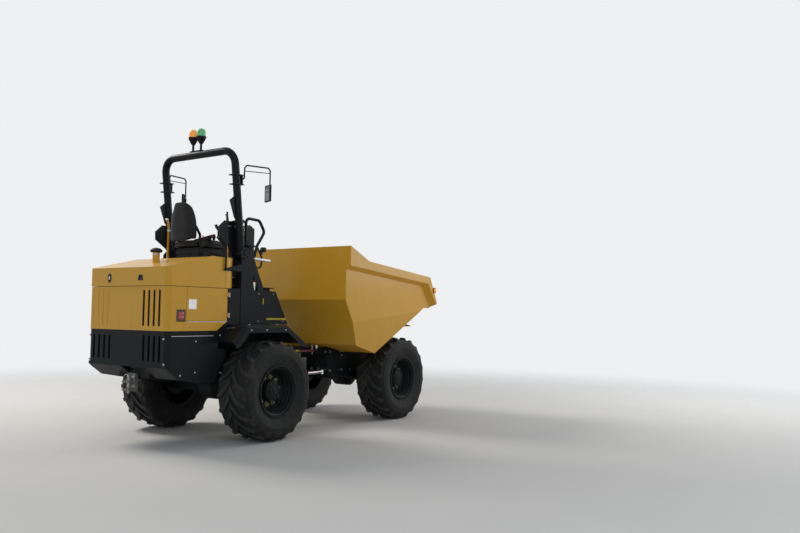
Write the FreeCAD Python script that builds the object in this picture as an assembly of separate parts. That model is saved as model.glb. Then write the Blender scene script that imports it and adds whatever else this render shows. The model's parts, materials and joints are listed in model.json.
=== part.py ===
import FreeCAD, Part
import math
import os

# Site dumper with a forward-tipping skip, an articulated chassis and a folding hoop.
# Millimetres. +X points forward over the skip, +Y to the machine's left, +Z up.
# The ground is z = 0, and x = 0 and y = 0 lie at the middle of the length and width.
# Pieces are drawn on the left side where they come in pairs, and mirrored to the right.

os.makedirs("parts", exist_ok=True)

# Fits: what one piece leaves to the next
seat_gap = 0.3
run_gap = 0.05
panel_gap = 5.0

# Overall places
rear_x = -2297.0
rear_axle_x = -975.0
front_axle_x = 1615.0
axle_z = 580.0
track_half = 863.0

# Wheels
tyre_r = 580.0
groove_r = 552.0
shoulder_r = 545.0
lug_foot_r = 500.0
bulge_r = 432.0
bead_r = 291.2
rim_seat_r = 287.5
flange_r = 304.0
flange_y = 219.0
hub_r = 118.0
stub_r = 45.0
lug_pairs = 20

# Articulation, on the upright pin between the two frames
joint_x = 320.0
joint_pin_r = 40.0
knuckle_r = 110.0
knuckle_low = 640.0
knuckle_high = 900.0
fork_plate = 40.0
fork_half = 130.0

# Steering cylinders, one on each side of the articulation
steer_base = (-330.0, 390.0)
steer_eye = (570.0, 430.0)
steer_z = 690.0
steer_pin_r = 15.0
steer_barrel_r = 45.0
steer_rod_r = 26.0
steer_barrel_length = 588.0
steer_rod_start = 320.0

# Tipping cylinders under the skip, as (x, z)
skip_pivot = (1830.0, 1000.0)
skip_pin_r = 30.0
tip_base = (760.0, 690.0)
tip_eye = (1400.0, 1120.0)
tip_y = 150.0
tip_barrel_r = 50.0
tip_rod_r = 30.0
tip_pin_r = 25.0

# Rear body
bonnet_half = 683.0
corner_r = 55.0
sheet = 6.0
rail_top = 900.0
guard_top_z = 1280.0
seam_z = 1765.0
cover_rear_z = 1970.0
cover_peak = (-1665.0, 2117.0)
cover_front_x = -1480.0
console_front_x = -1295.0
door_rear_x = -2028.0
door_front_x = -1440.0
door_low_z = 1388.0
door_high_z = 1759.0
floor_z = 1800.0
fender_top_z = 1345.0
fender_in_y = 500.0

# Folding hoop
hoop_half = 620.0
hoop_tube_r = 46.0
hoop_pivot = (-1185.0, 2180.0)
hoop_top = (-1335.0, 3402.0)
hoop_bend_r = 170.0
hoop_pin_r = 25.0

# Skip
rim_half = 1220.0
rim_reach = 75.0
skip_half = rim_half - rim_reach
skip_wall = 10.0


def vec(x, y, z):
    return FreeCAD.Vector(x, y, z)


def block(x0, x1, y0, y1, z0, z1):
    return Part.makeBox(x1 - x0, y1 - y0, z1 - z0, vec(x0, y0, z0))


def face_of(corners):
    return Part.Face(Part.makePolygon(corners + corners[:1]))


def plate_xz(points, y0, y1):
    return face_of([vec(x, y0, z) for x, z in points]).extrude(vec(0, y1 - y0, 0))


def plate_xy(points, z0, z1):
    return face_of([vec(x, y, z0) for x, y in points]).extrude(vec(0, 0, z1 - z0))


def bar(start, end, radius):
    p = vec(*start)
    line = vec(*end) - p
    return Part.makeCylinder(radius, line.Length, p, line)


def round_y(x, z, radius, y0, y1):
    return Part.makeCylinder(radius, y1 - y0, vec(x, y0, z), vec(0, 1, 0))


def round_z(x, y, radius, z0, z1):
    return Part.makeCylinder(radius, z1 - z0, vec(x, y, z0), vec(0, 0, 1))


def turned(profile, origin, axis, across):
    # profile holds (distance along the axis, radius)
    corners = [vec(*origin) + vec(*axis) * along + vec(*across) * radius for along, radius in profile]
    return face_of(corners).revolve(vec(*origin), vec(*axis), 360)


def mirrored(shape):
    return shape.mirror(vec(0, 0, 0), vec(0, 1, 0))


def joined(shapes):
    body = shapes[0].fuse(shapes[1:]) if len(shapes) > 1 else shapes[0]
    return body.removeSplitter()


def pair(shape):
    return joined([shape, mirrored(shape)])


def swept_tube(points, radius, bend):
    # A round tube along a line of corners, each corner rounded to the given bend
    corners = [vec(*p) for p in points]
    edges = []
    start = corners[0]
    for before, here, after in zip(corners, corners[1:], corners[2:]):
        back = (before - here).normalize()
        ahead = (after - here).normalize()
        half = back.getAngle(ahead) / 2
        reach = bend / math.tan(half)
        bisector = (back + ahead).normalize()
        arc_middle = here + bisector * (bend / math.sin(half) - bend)
        edges.append(Part.makeLine(start, here + back * reach))
        edges.append(Part.Arc(here + back * reach, arc_middle, here + ahead * reach).toShape())
        start = here + ahead * reach
    edges.append(Part.makeLine(start, corners[-1]))
    ring = Part.Wire(Part.makeCircle(radius, corners[0], corners[1] - corners[0]))
    return Part.Wire(edges).makePipeShell([ring], True, False)


def bent_rod(points, radius, bend):
    # A thin rod along a line of corners, each corner cut once across its bend and mitred
    corners = [vec(*p) for p in points]
    path = [corners[0]]
    for before, here, after in zip(corners, corners[1:], corners[2:]):
        path.append(here + (before - here).normalize() * bend)
        path.append(here + (after - here).normalize() * bend)
    path.append(corners[-1])
    ring = Part.Wire(Part.makeCircle(radius, path[0], path[1] - path[0]))
    return Part.makePolygon(path).makePipeShell([ring], True, False, 1)


def inset(points, distance):
    # The outline moved inward by a distance, corner by corner
    area = sum(a[0] * b[1] - b[0] * a[1] for a, b in zip(points, points[1:] + points[:1]))
    turn = math.copysign(distance, area)
    lines = []
    for a, b in zip(points, points[1:] + points[:1]):
        length = math.hypot(b[0] - a[0], b[1] - a[1])
        nx = -(b[1] - a[1]) / length * turn
        nz = (b[0] - a[0]) / length * turn
        lines.append((a[0] + nx, a[1] + nz, b[0] - a[0], b[1] - a[1]))
    result = []
    for (ax, az, adx, adz), (bx, bz, bdx, bdz) in zip([lines[-1]] + lines[:-1], lines):
        step = ((bx - ax) * bdz - (bz - az) * bdx) / (adx * bdz - adz * bdx)
        result.append((ax + adx * step, az + adz * step))
    return result


def between(points_in, y_in, points_out, y_out):
    # A solid whose side outline changes evenly from one plane of y to another
    wires = []
    for points, y in ((points_in, y_in), (points_out, y_out)):
        corners = [vec(x, y, z) for x, z in points]
        wires.append(Part.makePolygon(corners + corners[:1]))
    return Part.makeLoft(wires, True, True)


def save(node, *shapes):
    solids = [solid for shape in shapes for solid in shape.Solids]
    result = solids[0] if len(solids) == 1 else Part.makeCompound(solids)
    result.exportStep("parts/" + node + ".step")
    volume = sum(solid.Volume for solid in solids) / 1e9
    print(node, len(solids), "solids", all(s.isValid() for s in solids), round(volume, 5), "m3")


# Tyre: chevron lugs on each side of the middle, half a pitch apart, run out and back
# to the shoulder and down a ramp onto the side wall. Angles are in degrees round the
# wheel, growing against the forward roll, so that the lugs' inner ends lead.
pitch = 360.0 / lug_pairs
lug_start = -90.0
# name: (angle at which the lug begins, angle it takes up, y, radius of lug, radius of groove)
middle_line = (0.0, 6.6, 0.0, tyre_r, groove_r)
knee_line = (14.8, 5.6, 112.0, tyre_r - 2, groove_r - 1)
edge_line = (19.4, 4.6, 192.0, tyre_r - 6, shoulder_r)
edge_out_y = 206.0
foot_y = 234.0
bulge_y = 240.0
bead_y = 200.0


def wheel_point(angle, radius, y):
    turn = math.radians(angle)
    return vec(radius * math.cos(turn), y, radius * math.sin(turn))


def lug_corners(line, first, side):
    # Lug top and groove points of one line, at both flanks of the lug
    begin, width, y, top, low = line
    angles = (first + begin, first + begin + width)
    return ([wheel_point(a, top, y * side) for a in angles], [wheel_point(a, low, y * side) for a in angles])


def tread_side(side):
    faces = []
    offset = lug_start if side > 0 else lug_start + pitch / 2
    for i in range(lug_pairs):
        here = offset + i * pitch
        there = here + pitch
        top_a, low_a = lug_corners(middle_line, here, side)
        top_k, low_k = lug_corners(knee_line, here, side)
        top_e, _ = lug_corners(edge_line, here, side)
        begin, width = edge_line[:2]
        low_e = [wheel_point(here + begin + w, shoulder_r, edge_out_y * side) for w in (0, width)]
        foot = [wheel_point(here + begin + w, lug_foot_r, foot_y * side) for w in (0, width)]
        next_low_a = lug_corners(middle_line, there, side)[1][0]
        next_low_k = lug_corners(knee_line, there, side)[1][0]
        next_low_e = wheel_point(there + begin, shoulder_r, edge_out_y * side)
        next_foot = wheel_point(there + begin, lug_foot_r, foot_y * side)
        bulge = wheel_point(here + begin + width / 2, bulge_r, bulge_y * side)
        next_bulge = wheel_point(there + begin + width / 2, bulge_r, bulge_y * side)
        bead = wheel_point(here + begin + width / 2, bead_r, bead_y * side)
        next_bead = wheel_point(there + begin + width / 2, bead_r, bead_y * side)
        across = [wheel_point(here + pitch / 2 + w, groove_r, 0) for w in (0, middle_line[1])]
        # Lug top, ramp and inner end
        faces += [[top_a[0], top_a[1], top_k[1]], [top_a[0], top_k[1], top_k[0]]]
        faces += [[top_k[0], top_k[1], top_e[1]], [top_k[0], top_e[1], top_e[0]]]
        faces += [[top_e[0], top_e[1], foot[1], foot[0]], [low_a[0], low_a[1], top_a[1], top_a[0]]]
        # Both flanks
        for j in (0, 1):
            faces += [[low_a[j], top_a[j], top_k[j]], [low_a[j], top_k[j], low_k[j]]]
            faces += [[low_k[j], top_k[j], top_e[j]], [low_k[j], top_e[j], low_e[j]]]
            faces += [[top_e[j], foot[j], low_e[j]]]
        # Groove to the next lug, and the shoulder below it
        faces += [[low_a[1], across[0], low_k[1]], [across[0], across[1], low_k[1]]]
        faces += [[across[1], next_low_a, low_k[1]], [next_low_a, next_low_k, low_k[1]]]
        faces += [[low_k[1], next_low_k, next_low_e], [low_k[1], next_low_e, low_e[1]]]
        faces += [[low_e[1], next_low_e, next_foot, foot[1]]]
        # Side wall down to the bead
        faces += [[foot[0], foot[1], bulge], [foot[1], next_foot, bulge], [next_foot, next_bulge, bulge]]
        faces += [[bulge, next_bulge, next_bead, bead]]
        # Half of the bore, up to the other side's bead
        other = wheel_point(here + begin + width / 2 + pitch / 2, bead_r, -bead_y * side)
        faces += [[bead, next_bead, other]]
    return faces


def build_tyre():
    faces = [face_of(corners) for side in (1, -1) for corners in tread_side(side)]
    shell = Part.makeShell(faces)
    shell.sewShape()
    solid = Part.makeSolid(shell.Shells[0] if shell.Shells else shell)
    if solid.Volume < 0:
        solid.reverse()
    return solid


# Rim: a deep dish of stepped rings, with the hub at its bottom; (outward from the middle, radius)
rim_profile = [
    (-flange_y, flange_r), (-flange_y + 8, flange_r), (-flange_y + 8, rim_seat_r), (flange_y - 8, rim_seat_r),
    (flange_y - 8, flange_r), (flange_y, flange_r), (flange_y, 286), (198, 276), (190, 262), (150, 258), (142, 250),
    (104, 247), (96, 240), (60, 236), (44, 222), (44, hub_r - 5), (30, hub_r - 5), (30, 262), (-flange_y, 276)]
hub_in = -120.0
hub_out = 120.0
hub_face = track_half + hub_in


def build_rim():
    ring = turned(rim_profile, (0, 0, 0), (0, 1, 0), (1, 0, 0))
    hub = round_y(0, 0, hub_r, hub_in, hub_out)
    bore = round_y(0, 0, stub_r + run_gap, hub_in, -30)
    return joined([ring, hub]).cut(bore)


tyre = build_tyre()
rim_left = build_rim()
rim_right = mirrored(rim_left)
wheel_table = [
    ("rear_right", rear_axle_x, -1, rim_right),
    ("rear_left", rear_axle_x, 1, rim_left),
    ("front_right", front_axle_x, -1, rim_right),
    ("front_left", front_axle_x, 1, rim_left)]
for name, x, side, rim in wheel_table:
    centre = vec(x, track_half * side, axle_z)
    save("tyre_" + name, tyre.translated(centre))
    save("rim_" + name, rim.translated(centre))

# Axles: a box beam with a drive head in the middle and a stub that each hub runs on
beam_half = 70.0
head_profile = [(-170, 0), (-170, 95), (-110, 160), (110, 160), (170, 95), (170, 0)]


def build_axle(x, nose_end):
    beam = block(x - beam_half, x + beam_half, -hub_face + 30, hub_face - 30, axle_z - beam_half, axle_z + beam_half)
    head = turned(head_profile, (x, 0, axle_z), (0, 1, 0), (1, 0, 0))
    nose = bar((x, 0, axle_z), (x + nose_end, 0, axle_z), 75)
    flange = round_y(x, axle_z, 150, hub_face - 45, hub_face - 5)
    stub = round_y(x, axle_z, stub_r, hub_face - 10, hub_face + 80)
    return joined([beam, head, nose, pair(joined([flange, stub]))])


save("rear_axle", build_axle(rear_axle_x, 250))
save("front_axle", build_axle(front_axle_x, -250))

# Rear chassis: two deep rails, cross plates and the fork of the articulation
rail_outer = 262.0
rail_inner = 234.0
rail_front_x = 60.0
fork_high = knuckle_high + panel_gap
fork_low = knuckle_low - panel_gap - fork_plate
rail = plate_xz([
    (-2160, 752), (-2160, rail_top), (-200, rail_top), (-120, fork_high + fork_plate), (rail_front_x, fork_high + fork_plate),
    (rail_front_x, fork_low), (-260, fork_low), (-420, 760), (-1380, 760), (-1560, 700),
    (-1900, 700)], rail_inner, rail_outer)
cross_rear = block(-2160, -2140, -rail_inner, rail_inner, 752, rail_top)
engine_bed = block(-2100, -1400, -rail_inner, rail_inner, rail_top - 20, rail_top)
cross_front = block(rail_front_x - 30, rail_front_x, -rail_inner, rail_inner, fork_low, fork_high + fork_plate)
deck_plate = block(-560, rail_front_x - 30, -rail_inner, rail_inner, rail_top - 20, rail_top)
saddle = block(
    rear_axle_x - 90, rear_axle_x + 90, rail_inner, rail_outer + 40, axle_z + beam_half + seat_gap, 790)
fork_outline = [
    (rail_front_x - 20, -200), (rail_front_x + 120, -175), (joint_x, -fork_half),
    (joint_x, fork_half), (rail_front_x + 120, 175), (rail_front_x - 20, 200)]


def fork(z0):
    end = round_z(joint_x, 0, fork_half, z0, z0 + fork_plate)
    return joined([plate_xy(fork_outline, z0, z0 + fork_plate), end])


joint_pin = round_z(joint_x, 0, joint_pin_r, fork_low - 15, fork_high + fork_plate + 15)
steer_ear = 18.0


def ears(x0, x1, y0, y1, z, gap):
    # Two flat plates, above and below a cylinder's eye
    return [
        block(x0, x1, y0, y1, z + gap, z + gap + steer_ear), block(x0, x1, y0, y1, z - gap - steer_ear, z - gap)]


steer_gap = 33.0
steer_base_lug = joined(ears(
    steer_base[0] - 40, steer_base[0] + 30, rail_outer - 10, steer_base[1] + 28, steer_z, steer_gap) + [
    round_z(steer_base[0], steer_base[1], steer_pin_r, steer_z - steer_gap - steer_ear, steer_z + steer_gap + steer_ear),
    block(steer_base[0] - 110, steer_base[0] - 40, rail_outer - 10, steer_base[1] + 28,
          steer_z - steer_gap - steer_ear, steer_z + steer_gap + steer_ear)])
save("rear_chassis", joined([
    pair(rail), cross_rear, cross_front, engine_bed, deck_plate, pair(saddle), fork(fork_high), fork(fork_low),
    joint_pin, pair(steer_base_lug)]))

# Tow hitch: a clevis under the rear guard, with an upright bore for the pin
hitch_bore = (-2230.0, 16.0)
hitch = joined([
    block(-2200, -2160, -70, 70, 600, 800),
    block(-2275, -2190, -60, 60, 700, 720),
    block(-2275, -2190, -60, 60, 610, 630)])
save("tow_hitch", hitch.cut(round_z(hitch_bore[0], 0, hitch_bore[1], 580, 740)))


def plan_round(back_x, front_x, half, radius, z0, z1):
    # A block whose two rear upright corners are rounded in plan
    turn = radius * (1 - math.sqrt(0.5))
    left = (vec(back_x + radius, half, z0), vec(back_x + turn, half - turn, z0), vec(back_x, half - radius, z0))
    right = [vec(p.x, -p.y, p.z) for p in left]
    front_left = vec(front_x, half, z0)
    front_right = vec(front_x, -half, z0)
    edges = [
        Part.makeLine(front_left, left[0]), Part.Arc(*left).toShape(), Part.makeLine(left[2], right[2]),
        Part.Arc(right[2], right[1], right[0]).toShape(), Part.makeLine(right[0], front_right),
        Part.makeLine(front_right, front_left)]
    return Part.Face(Part.Wire(edges)).extrude(vec(0, 0, z1 - z0))


# Rear guard: a heavy black wall across the back, with a skirt along each side
guard_rear_x = rear_x + 15
guard_low_z = 883.0
skirt_in_y = bonnet_half - 16
guard_front_x = -1400.0
wall_depth = 110.0
guard_room = plan_round(guard_rear_x + wall_depth, guard_front_x, skirt_in_y, corner_r, 600, guard_top_z + 150)
belly_foot = (-2098.0, 752.0)
skirt_outline = [
    (guard_rear_x, guard_low_z), (guard_rear_x, guard_top_z - seat_gap), (-1592, guard_top_z - seat_gap), (-1440, 1380),
    (-1434, 1380), (-1434, 1299.9), (-1563, 1163), (-1566, 1150), (-1566, 1075), (-1450, 1060), (-1440, 1000),
    (-1530, 850), (-1600, 700), (-1812, 700), belly_foot]
guard = plate_xz(skirt_outline, -bonnet_half, bonnet_half).common(
    plan_round(guard_rear_x, guard_front_x, bonnet_half, corner_r, 600, guard_top_z + 150)).cut(guard_room)
guard_wall_base = block(
    guard_rear_x, guard_rear_x + wall_depth, -skirt_in_y, skirt_in_y, 600, guard_low_z)
guard_shelf = block(-2180, -2110, -bonnet_half + 16, bonnet_half - 16, rail_top + seat_gap, rail_top + 30)
# A sloped weight under the wall, parted in the middle for the hitch and the rails
belly_side = plate_xz([
    (guard_rear_x, guard_low_z), belly_foot, (-2000, belly_foot[1]), (-2000, guard_low_z), (-2170, guard_low_z + 30),
    (guard_rear_x, guard_low_z + 30)], rail_outer + 8, skirt_in_y + 2)
belly_middle = plate_xz([
    (guard_rear_x, guard_low_z), (-2168, 801.8), (-2168, guard_low_z + 10), (guard_rear_x, guard_low_z + 10)],
    90, rail_outer + 10)
# Upright slots in the wall, closed behind: (y of the first, step to the next, number, low z, high z)
slot_half = 17.5


def slots(x0, x1, first_y, step, count, low, high):
    cuts = []
    for i in range(count):
        y = first_y + step * i
        cuts.append(block(x0, x1, y - slot_half, y + slot_half, low + slot_half, high - slot_half))
        for z in (low + slot_half, high - slot_half):
            cuts.append(Part.makeCylinder(slot_half, x1 - x0, vec(x0, y, z), vec(1, 0, 0)))
    return joined(cuts)


guard_slots = [
    slots(guard_rear_x - 5, guard_rear_x + 45, 298, 94, 4, 950, 1222),
    slots(guard_rear_x - 5, guard_rear_x + 45, -560, 87, 4, 945, 1230)]
guard = joined([guard.cut(guard_wall_base), guard_shelf, pair(belly_side), pair(belly_middle)])
save("rear_guard", guard.cut(guard_slots))

# Engine: one plain block at its place between the rails
save("engine_block", block(-2050, -1450, -225, 225, rail_top + seat_gap, 1560))

# Yellow body panel: the rear face and the fixed strips round the doors
panel_rear_x = rear_x + 7
panel_high = seam_z - panel_gap
panel_outline = [
    (panel_rear_x, guard_top_z), (panel_rear_x, panel_high), (door_rear_x - panel_gap, panel_high),
    (door_rear_x - panel_gap, door_low_z - panel_gap), (door_front_x, door_low_z - panel_gap),
    (-1592, guard_top_z)]
panel_outer = plan_round(panel_rear_x, -1400, bonnet_half, corner_r, guard_top_z, panel_high)
panel_inner = plan_round(
    panel_rear_x + sheet, -1400, bonnet_half - sheet, corner_r - sheet, guard_top_z + sheet, panel_high + 10)
panel_well = block(-2225, -1400, -bonnet_half + 60, bonnet_half - 60, guard_top_z - 10, guard_top_z + 10)
body_panel = plate_xz(panel_outline, -bonnet_half, bonnet_half).common(panel_outer).cut(panel_inner).cut(panel_well)
# Open slots on the right, pressed ones on the left, and a pocket in each side for the tail lamp
panel_slots = [
    slots(panel_rear_x - 5, panel_rear_x + sheet + 5, -552, 87, 4, 1326, 1722),
    slots(panel_rear_x - 5, panel_rear_x + 3, 322, 88, 4, 1328, 1728)]
pocket = (-2168.0, -2038.0, 1380.0, 1512.0)
pocket_depth = 34.0
pocket_wall = block(
    pocket[0] - 4, pocket[1], bonnet_half - pocket_depth - 4, bonnet_half - 1, pocket[2] - 4, pocket[3] + 4)
pocket_room = block(
    pocket[0], pocket[1] - 4, bonnet_half - pocket_depth, bonnet_half + 10, pocket[2], pocket[3])
body_panel = joined([body_panel, pair(pocket_wall)]).cut(pair(pocket_room)).cut(panel_slots)
save("body_panel", body_panel)

# Side doors, hinged on their front edges; each carries two knuckles on its hinge line
hinge_line = (door_front_x + 6.5, bonnet_half + 9)
hinge_pin_r = 5.0
knuckle_ring_r = 9.0
hinge_rows = (1455.0, 1690.0)
knuckle_half_z = 15.0
door = block(door_rear_x, door_front_x, bonnet_half - sheet, bonnet_half, door_low_z, door_high_z)
knuckles = []
for z in hinge_rows:
    leaf = block(door_front_x - 50, hinge_line[0], bonnet_half - 1, bonnet_half + 4, z - knuckle_half_z, z + knuckle_half_z)
    knuckles += [leaf, round_z(hinge_line[0], hinge_line[1], knuckle_ring_r, z - knuckle_half_z, z + knuckle_half_z)]
door = joined([door] + knuckles)
door = door.cut(round_z(hinge_line[0], hinge_line[1], hinge_pin_r + run_gap, door_low_z, door_high_z))
save("door_left", door)
save("door_right", mirrored(door))

# Fixed hinge halves in front of the doors, each a pin held by an ear above and below the knuckle
pillar_rear_x = door_front_x + 12
hinge_halves = []
for z in hinge_rows:
    for ear_z in (z - knuckle_half_z - 10.5, z + knuckle_half_z + 0.5):
        hinge_halves += [
            block(hinge_line[0] - 6, pillar_rear_x + 24, bonnet_half + seat_gap, hinge_line[1], ear_z, ear_z + 10),
            round_z(hinge_line[0], hinge_line[1], knuckle_ring_r, ear_z, ear_z + 10)]
    hinge_halves += [
        round_z(hinge_line[0], hinge_line[1], hinge_pin_r, z - knuckle_half_z - 10, z + knuckle_half_z + 10),
        block(pillar_rear_x + 6, pillar_rear_x + 24, bonnet_half + seat_gap, bonnet_half + 6,
              z - knuckle_half_z - 10.5, z + knuckle_half_z + 10.5)]
door_hinge = joined(hinge_halves)
save("door_hinges", door_hinge, mirrored(door_hinge))

# Engine cover: a sheet hood with a notch in front for the seat
notch_half = 300.0
cover_low = seam_z


def cover_shape(thin):
    outline = [
        (rear_x + thin, cover_low - thin), (rear_x + thin, cover_rear_z - thin), (cover_peak[0], cover_peak[1] - thin),
        (cover_front_x, cover_peak[1] - thin), (cover_front_x, cover_low - thin)]
    plan = plan_round(rear_x + thin, cover_front_x + thin, bonnet_half - thin, corner_r - thin, cover_low - 10, 2200)
    stretch = [(x + (thin if x == cover_front_x else 0), z) for x, z in outline]
    return plate_xz(stretch, -bonnet_half + thin, bonnet_half - thin).common(plan)


cover_notch = block(-1650, cover_front_x + 10, -notch_half, notch_half, 1900, 2300)
lid_line = (cover_front_x + 2.5, cover_peak[1] + 13.5)
lid_rows = (420.0, 500.0)
lid_pin_r = 6.0
lid_ring_r = 12.0
lid_knuckle = joined([
    round_y(lid_line[0], lid_line[1], lid_ring_r, lid_rows[0] + 15, lid_rows[1] - 15),
    block(cover_front_x - 60, lid_line[0], lid_rows[0] + 15, lid_rows[1] - 15, cover_peak[1] - 2, cover_peak[1] + 6)])
cover = cover_shape(0).cut(cover_shape(sheet)).cut(cover_notch)
cover = joined([cover, pair(lid_knuckle)])
cover = cover.cut(round_y(lid_line[0], lid_line[1], lid_pin_r + run_gap, -bonnet_half, bonnet_half))
save("engine_cover", cover)

# Intake stub with a rain cap, fixed to the cover
stub_place = (-1955.0, -50.0)
intake_r = 40.0
stub_top_z = 2160.0
cap_r = 68.0
roof = plate_xz([
    (rear_x, seam_z), (rear_x, cover_rear_z + seat_gap), (cover_peak[0], cover_peak[1] + seat_gap), (cover_peak[0], seam_z)],
    -200, 200)
stub = round_z(stub_place[0], stub_place[1], intake_r, 2030, stub_top_z).cut(roof)
save("intake_stub", stub)
cap = turned([(0, 0), (0, cap_r - 8), (12, cap_r), (26, cap_r), (46, 44), (56, 0)],
             (stub_place[0], stub_place[1], stub_top_z + seat_gap), (0, 0, 1), (1, 0, 0))
save("rain_cap", cap)

# Seat console: the fixed front end of the bonnet, rounded at its front corners
console_back = cover_front_x + panel_gap
console_r = 150.0


def console_shape(thin, z0, z1):
    back = console_back - thin * 2
    return plan_round(-console_front_x + thin, -back, bonnet_half - thin, console_r - thin, z0, z1).mirror(
        vec(0, 0, 0), vec(1, 0, 0))


console = console_shape(0, seam_z, cover_peak[1]).cut(console_shape(sheet, seam_z - 10, cover_peak[1] - sheet))
console = console.cut(block(console_back - 40, console_back, -bonnet_half, bonnet_half, seam_z - 10, 2200))
lid_ears = []
for y0, y1 in ((lid_rows[0] + 5, lid_rows[0] + 14), (lid_rows[1] - 14, lid_rows[1] - 5)):
    lid_ears += [
        round_y(lid_line[0], lid_line[1], lid_ring_r, y0, y1),
        block(lid_line[0], console_back + 40, y0, y1, cover_peak[1] - 2, cover_peak[1] + 6)]
lid_pin = round_y(lid_line[0], lid_line[1], lid_pin_r, lid_rows[0] + 6, lid_rows[1] - 6)
save("seat_console", joined([console, pair(joined(lid_ears + [lid_pin]))]))

# Operator's platform: floor, footwell walls and the pillars that carry the console
floor_half = hoop_half - 40 - seat_gap
wall_half = fender_in_y
pillar_out_y = hoop_half + 63
platform = joined([
    block(console_front_x + 5, -560, -floor_half, floor_half, floor_z - 10, floor_z),
    block(console_back, console_front_x + 5, -floor_half, floor_half, seam_z - 20, seam_z - seat_gap),
    block(-1290, -1270, -floor_half, floor_half, seam_z - 20, floor_z - 10),
    block(-1290, -1270, -wall_half, wall_half, rail_top + seat_gap, floor_z - 10),
    block(-580, -560, -wall_half, wall_half, rail_top + seat_gap, floor_z - 10),
    pair(block(-1290, -560, wall_half - 20, wall_half, 1180, floor_z - 10)),
    pair(block(pillar_rear_x, -1240, floor_half - 20, pillar_out_y, fender_top_z + seat_gap, seam_z - seat_gap))])
save("platform", platform)

# Towers that carry the hoop, each with a round pivot disc outside the hoop's foot
tower_foot_z = fender_top_z + seat_gap
tower_in_y = hoop_half + 52
tower_out_y = hoop_half + 68
disc_r = 75.0
tower_plate = plate_xz([
    (-1235, tower_foot_z), (-1235, 2150), (-1110, 2180), (-1091, 2294), (-1050, 2210), (-1068, 2019),
    (-945, tower_foot_z)], tower_in_y, tower_out_y)
rear_plate_y = hoop_half - 73
tower_rear_plate = joined([
    plate_xz([
        (-1235, 1960), (-1235, 2125), (-1335, 2270), (-1496, 2376), (-1500, 2476), (-1400, 2560), (-1225, 2560),
        (-1130, 2294), (-1130, 1960)], rear_plate_y, rear_plate_y + 15),
    block(-1235, -1130, rear_plate_y + 14, hoop_half - 39, 1960, 2045)])
tower_brace = plate_xz([
    (-1120, 2294), (-1062, 2294), (-800, 1752 + seat_gap), (-905, 1752 + seat_gap), (-1055, 2050), (-1120, 2194)],
    hoop_half - 20, hoop_half + 20)
brace_tie = block(-1118, -1064, hoop_half - 18, tower_in_y + 2, 2266, 2290)
tower_post = block(-1235, -1035, hoop_half - 40, tower_in_y, tower_foot_z, 2050)
pivot_disc = round_y(hoop_pivot[0], hoop_pivot[1], disc_r, tower_in_y, tower_out_y + 4)
pivot_pin = round_y(hoop_pivot[0], hoop_pivot[1], hoop_pin_r, hoop_half - 40, tower_in_y + 8)
strut_x = -1496.0
strut_y = 700.0
strut_arm = plate_xz([
    (-1200, 2060), (strut_x - 15, 1985), (strut_x - 15, 1965), (-1200, 1965)], tower_out_y - 4, tower_out_y + 4)
strut_foot = block(strut_x - 15, strut_x + 15, tower_out_y - 4, strut_y + 12, 1965, 1985)
strut_rod = bar((strut_x, strut_y, 1975), (strut_x, strut_y, 2640), 11)
tower = joined([
    tower_plate, tower_post, pivot_disc, pivot_pin, tower_brace, brace_tie, tower_rear_plate])
tower_with_strut = joined([tower, strut_arm, strut_foot, strut_rod])
save("hoop_towers", tower, mirrored(tower_with_strut))

# Hoop: one bent tube with a boss at each foot and a gusset behind each leg
lean = (hoop_top[0] - hoop_pivot[0]) / (hoop_top[1] - hoop_pivot[1])
foot_rise = 60.0


def leg_x(z):
    return hoop_pivot[0] + lean * (z - hoop_pivot[1])


foot_point = (leg_x(hoop_pivot[1] + foot_rise), hoop_half, hoop_pivot[1] + foot_rise)
hoop_tube = swept_tube([
    (foot_point[0], -hoop_half, foot_point[2]), (hoop_top[0], -hoop_half, hoop_top[1]),
    (hoop_top[0], hoop_half, hoop_top[1]), foot_point], hoop_tube_r, hoop_bend_r)
hoop_boss = round_y(hoop_pivot[0], hoop_pivot[1], 58, hoop_half - 46, hoop_half + 46)
hoop_neck = bar((hoop_pivot[0], hoop_half, hoop_pivot[1]), (foot_point[0], hoop_half, foot_point[2] + 5), 44)
gusset = plate_xz([
    (leg_x(2870) - 30, 2870), (-1388, 2800), (-1310, 2600), (leg_x(2560) - 30, 2560)], hoop_half - 6, hoop_half + 6)
hoop = joined([hoop_tube, pair(joined([hoop_boss, hoop_neck])), pair(gusset)])
pivot_bore = round_y(hoop_pivot[0], hoop_pivot[1], hoop_pin_r + run_gap, -hoop_half - 60, hoop_half + 60)
save("hoop", hoop.cut(pivot_bore))

# Mirrors on bent arms in front of the hoop's legs
mirror_x = -872.0
mirror_y = 760.0
arm_z = 3050.0
mirror_arm_r = 9.0
arm = bent_rod([
    (leg_x(arm_z) + 60, hoop_half + 20, arm_z), (leg_x(arm_z) + 88, hoop_half + 40, arm_z),
    (leg_x(arm_z) + 78, hoop_half + 55, arm_z + 182), (mirror_x, mirror_y, arm_z + 190),
    (mirror_x, mirror_y, arm_z - 55)], mirror_arm_r, 30)
arm_stay = bar((leg_x(arm_z) + 80, hoop_half + 52, arm_z + 112), (mirror_x, mirror_y, arm_z + 128), 5)
clamps = [
    block(leg_x(z) - 62, leg_x(z) + 66, hoop_half - 60, hoop_half + 60, z, z + 12) for z in (arm_z - 60, arm_z + 50)]
clamp_bridge = block(leg_x(arm_z) + 54, leg_x(arm_z) + 70, hoop_half - 20, hoop_half + 40, arm_z - 60, arm_z + 62)
leg_clear = bar((hoop_pivot[0], hoop_half, hoop_pivot[1]), (hoop_top[0], hoop_half, hoop_top[1]), hoop_tube_r + seat_gap)
arm = joined([arm, arm_stay, clamp_bridge] + clamps).cut(leg_clear)
save("mirror_arms", arm, mirrored(arm))
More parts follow.
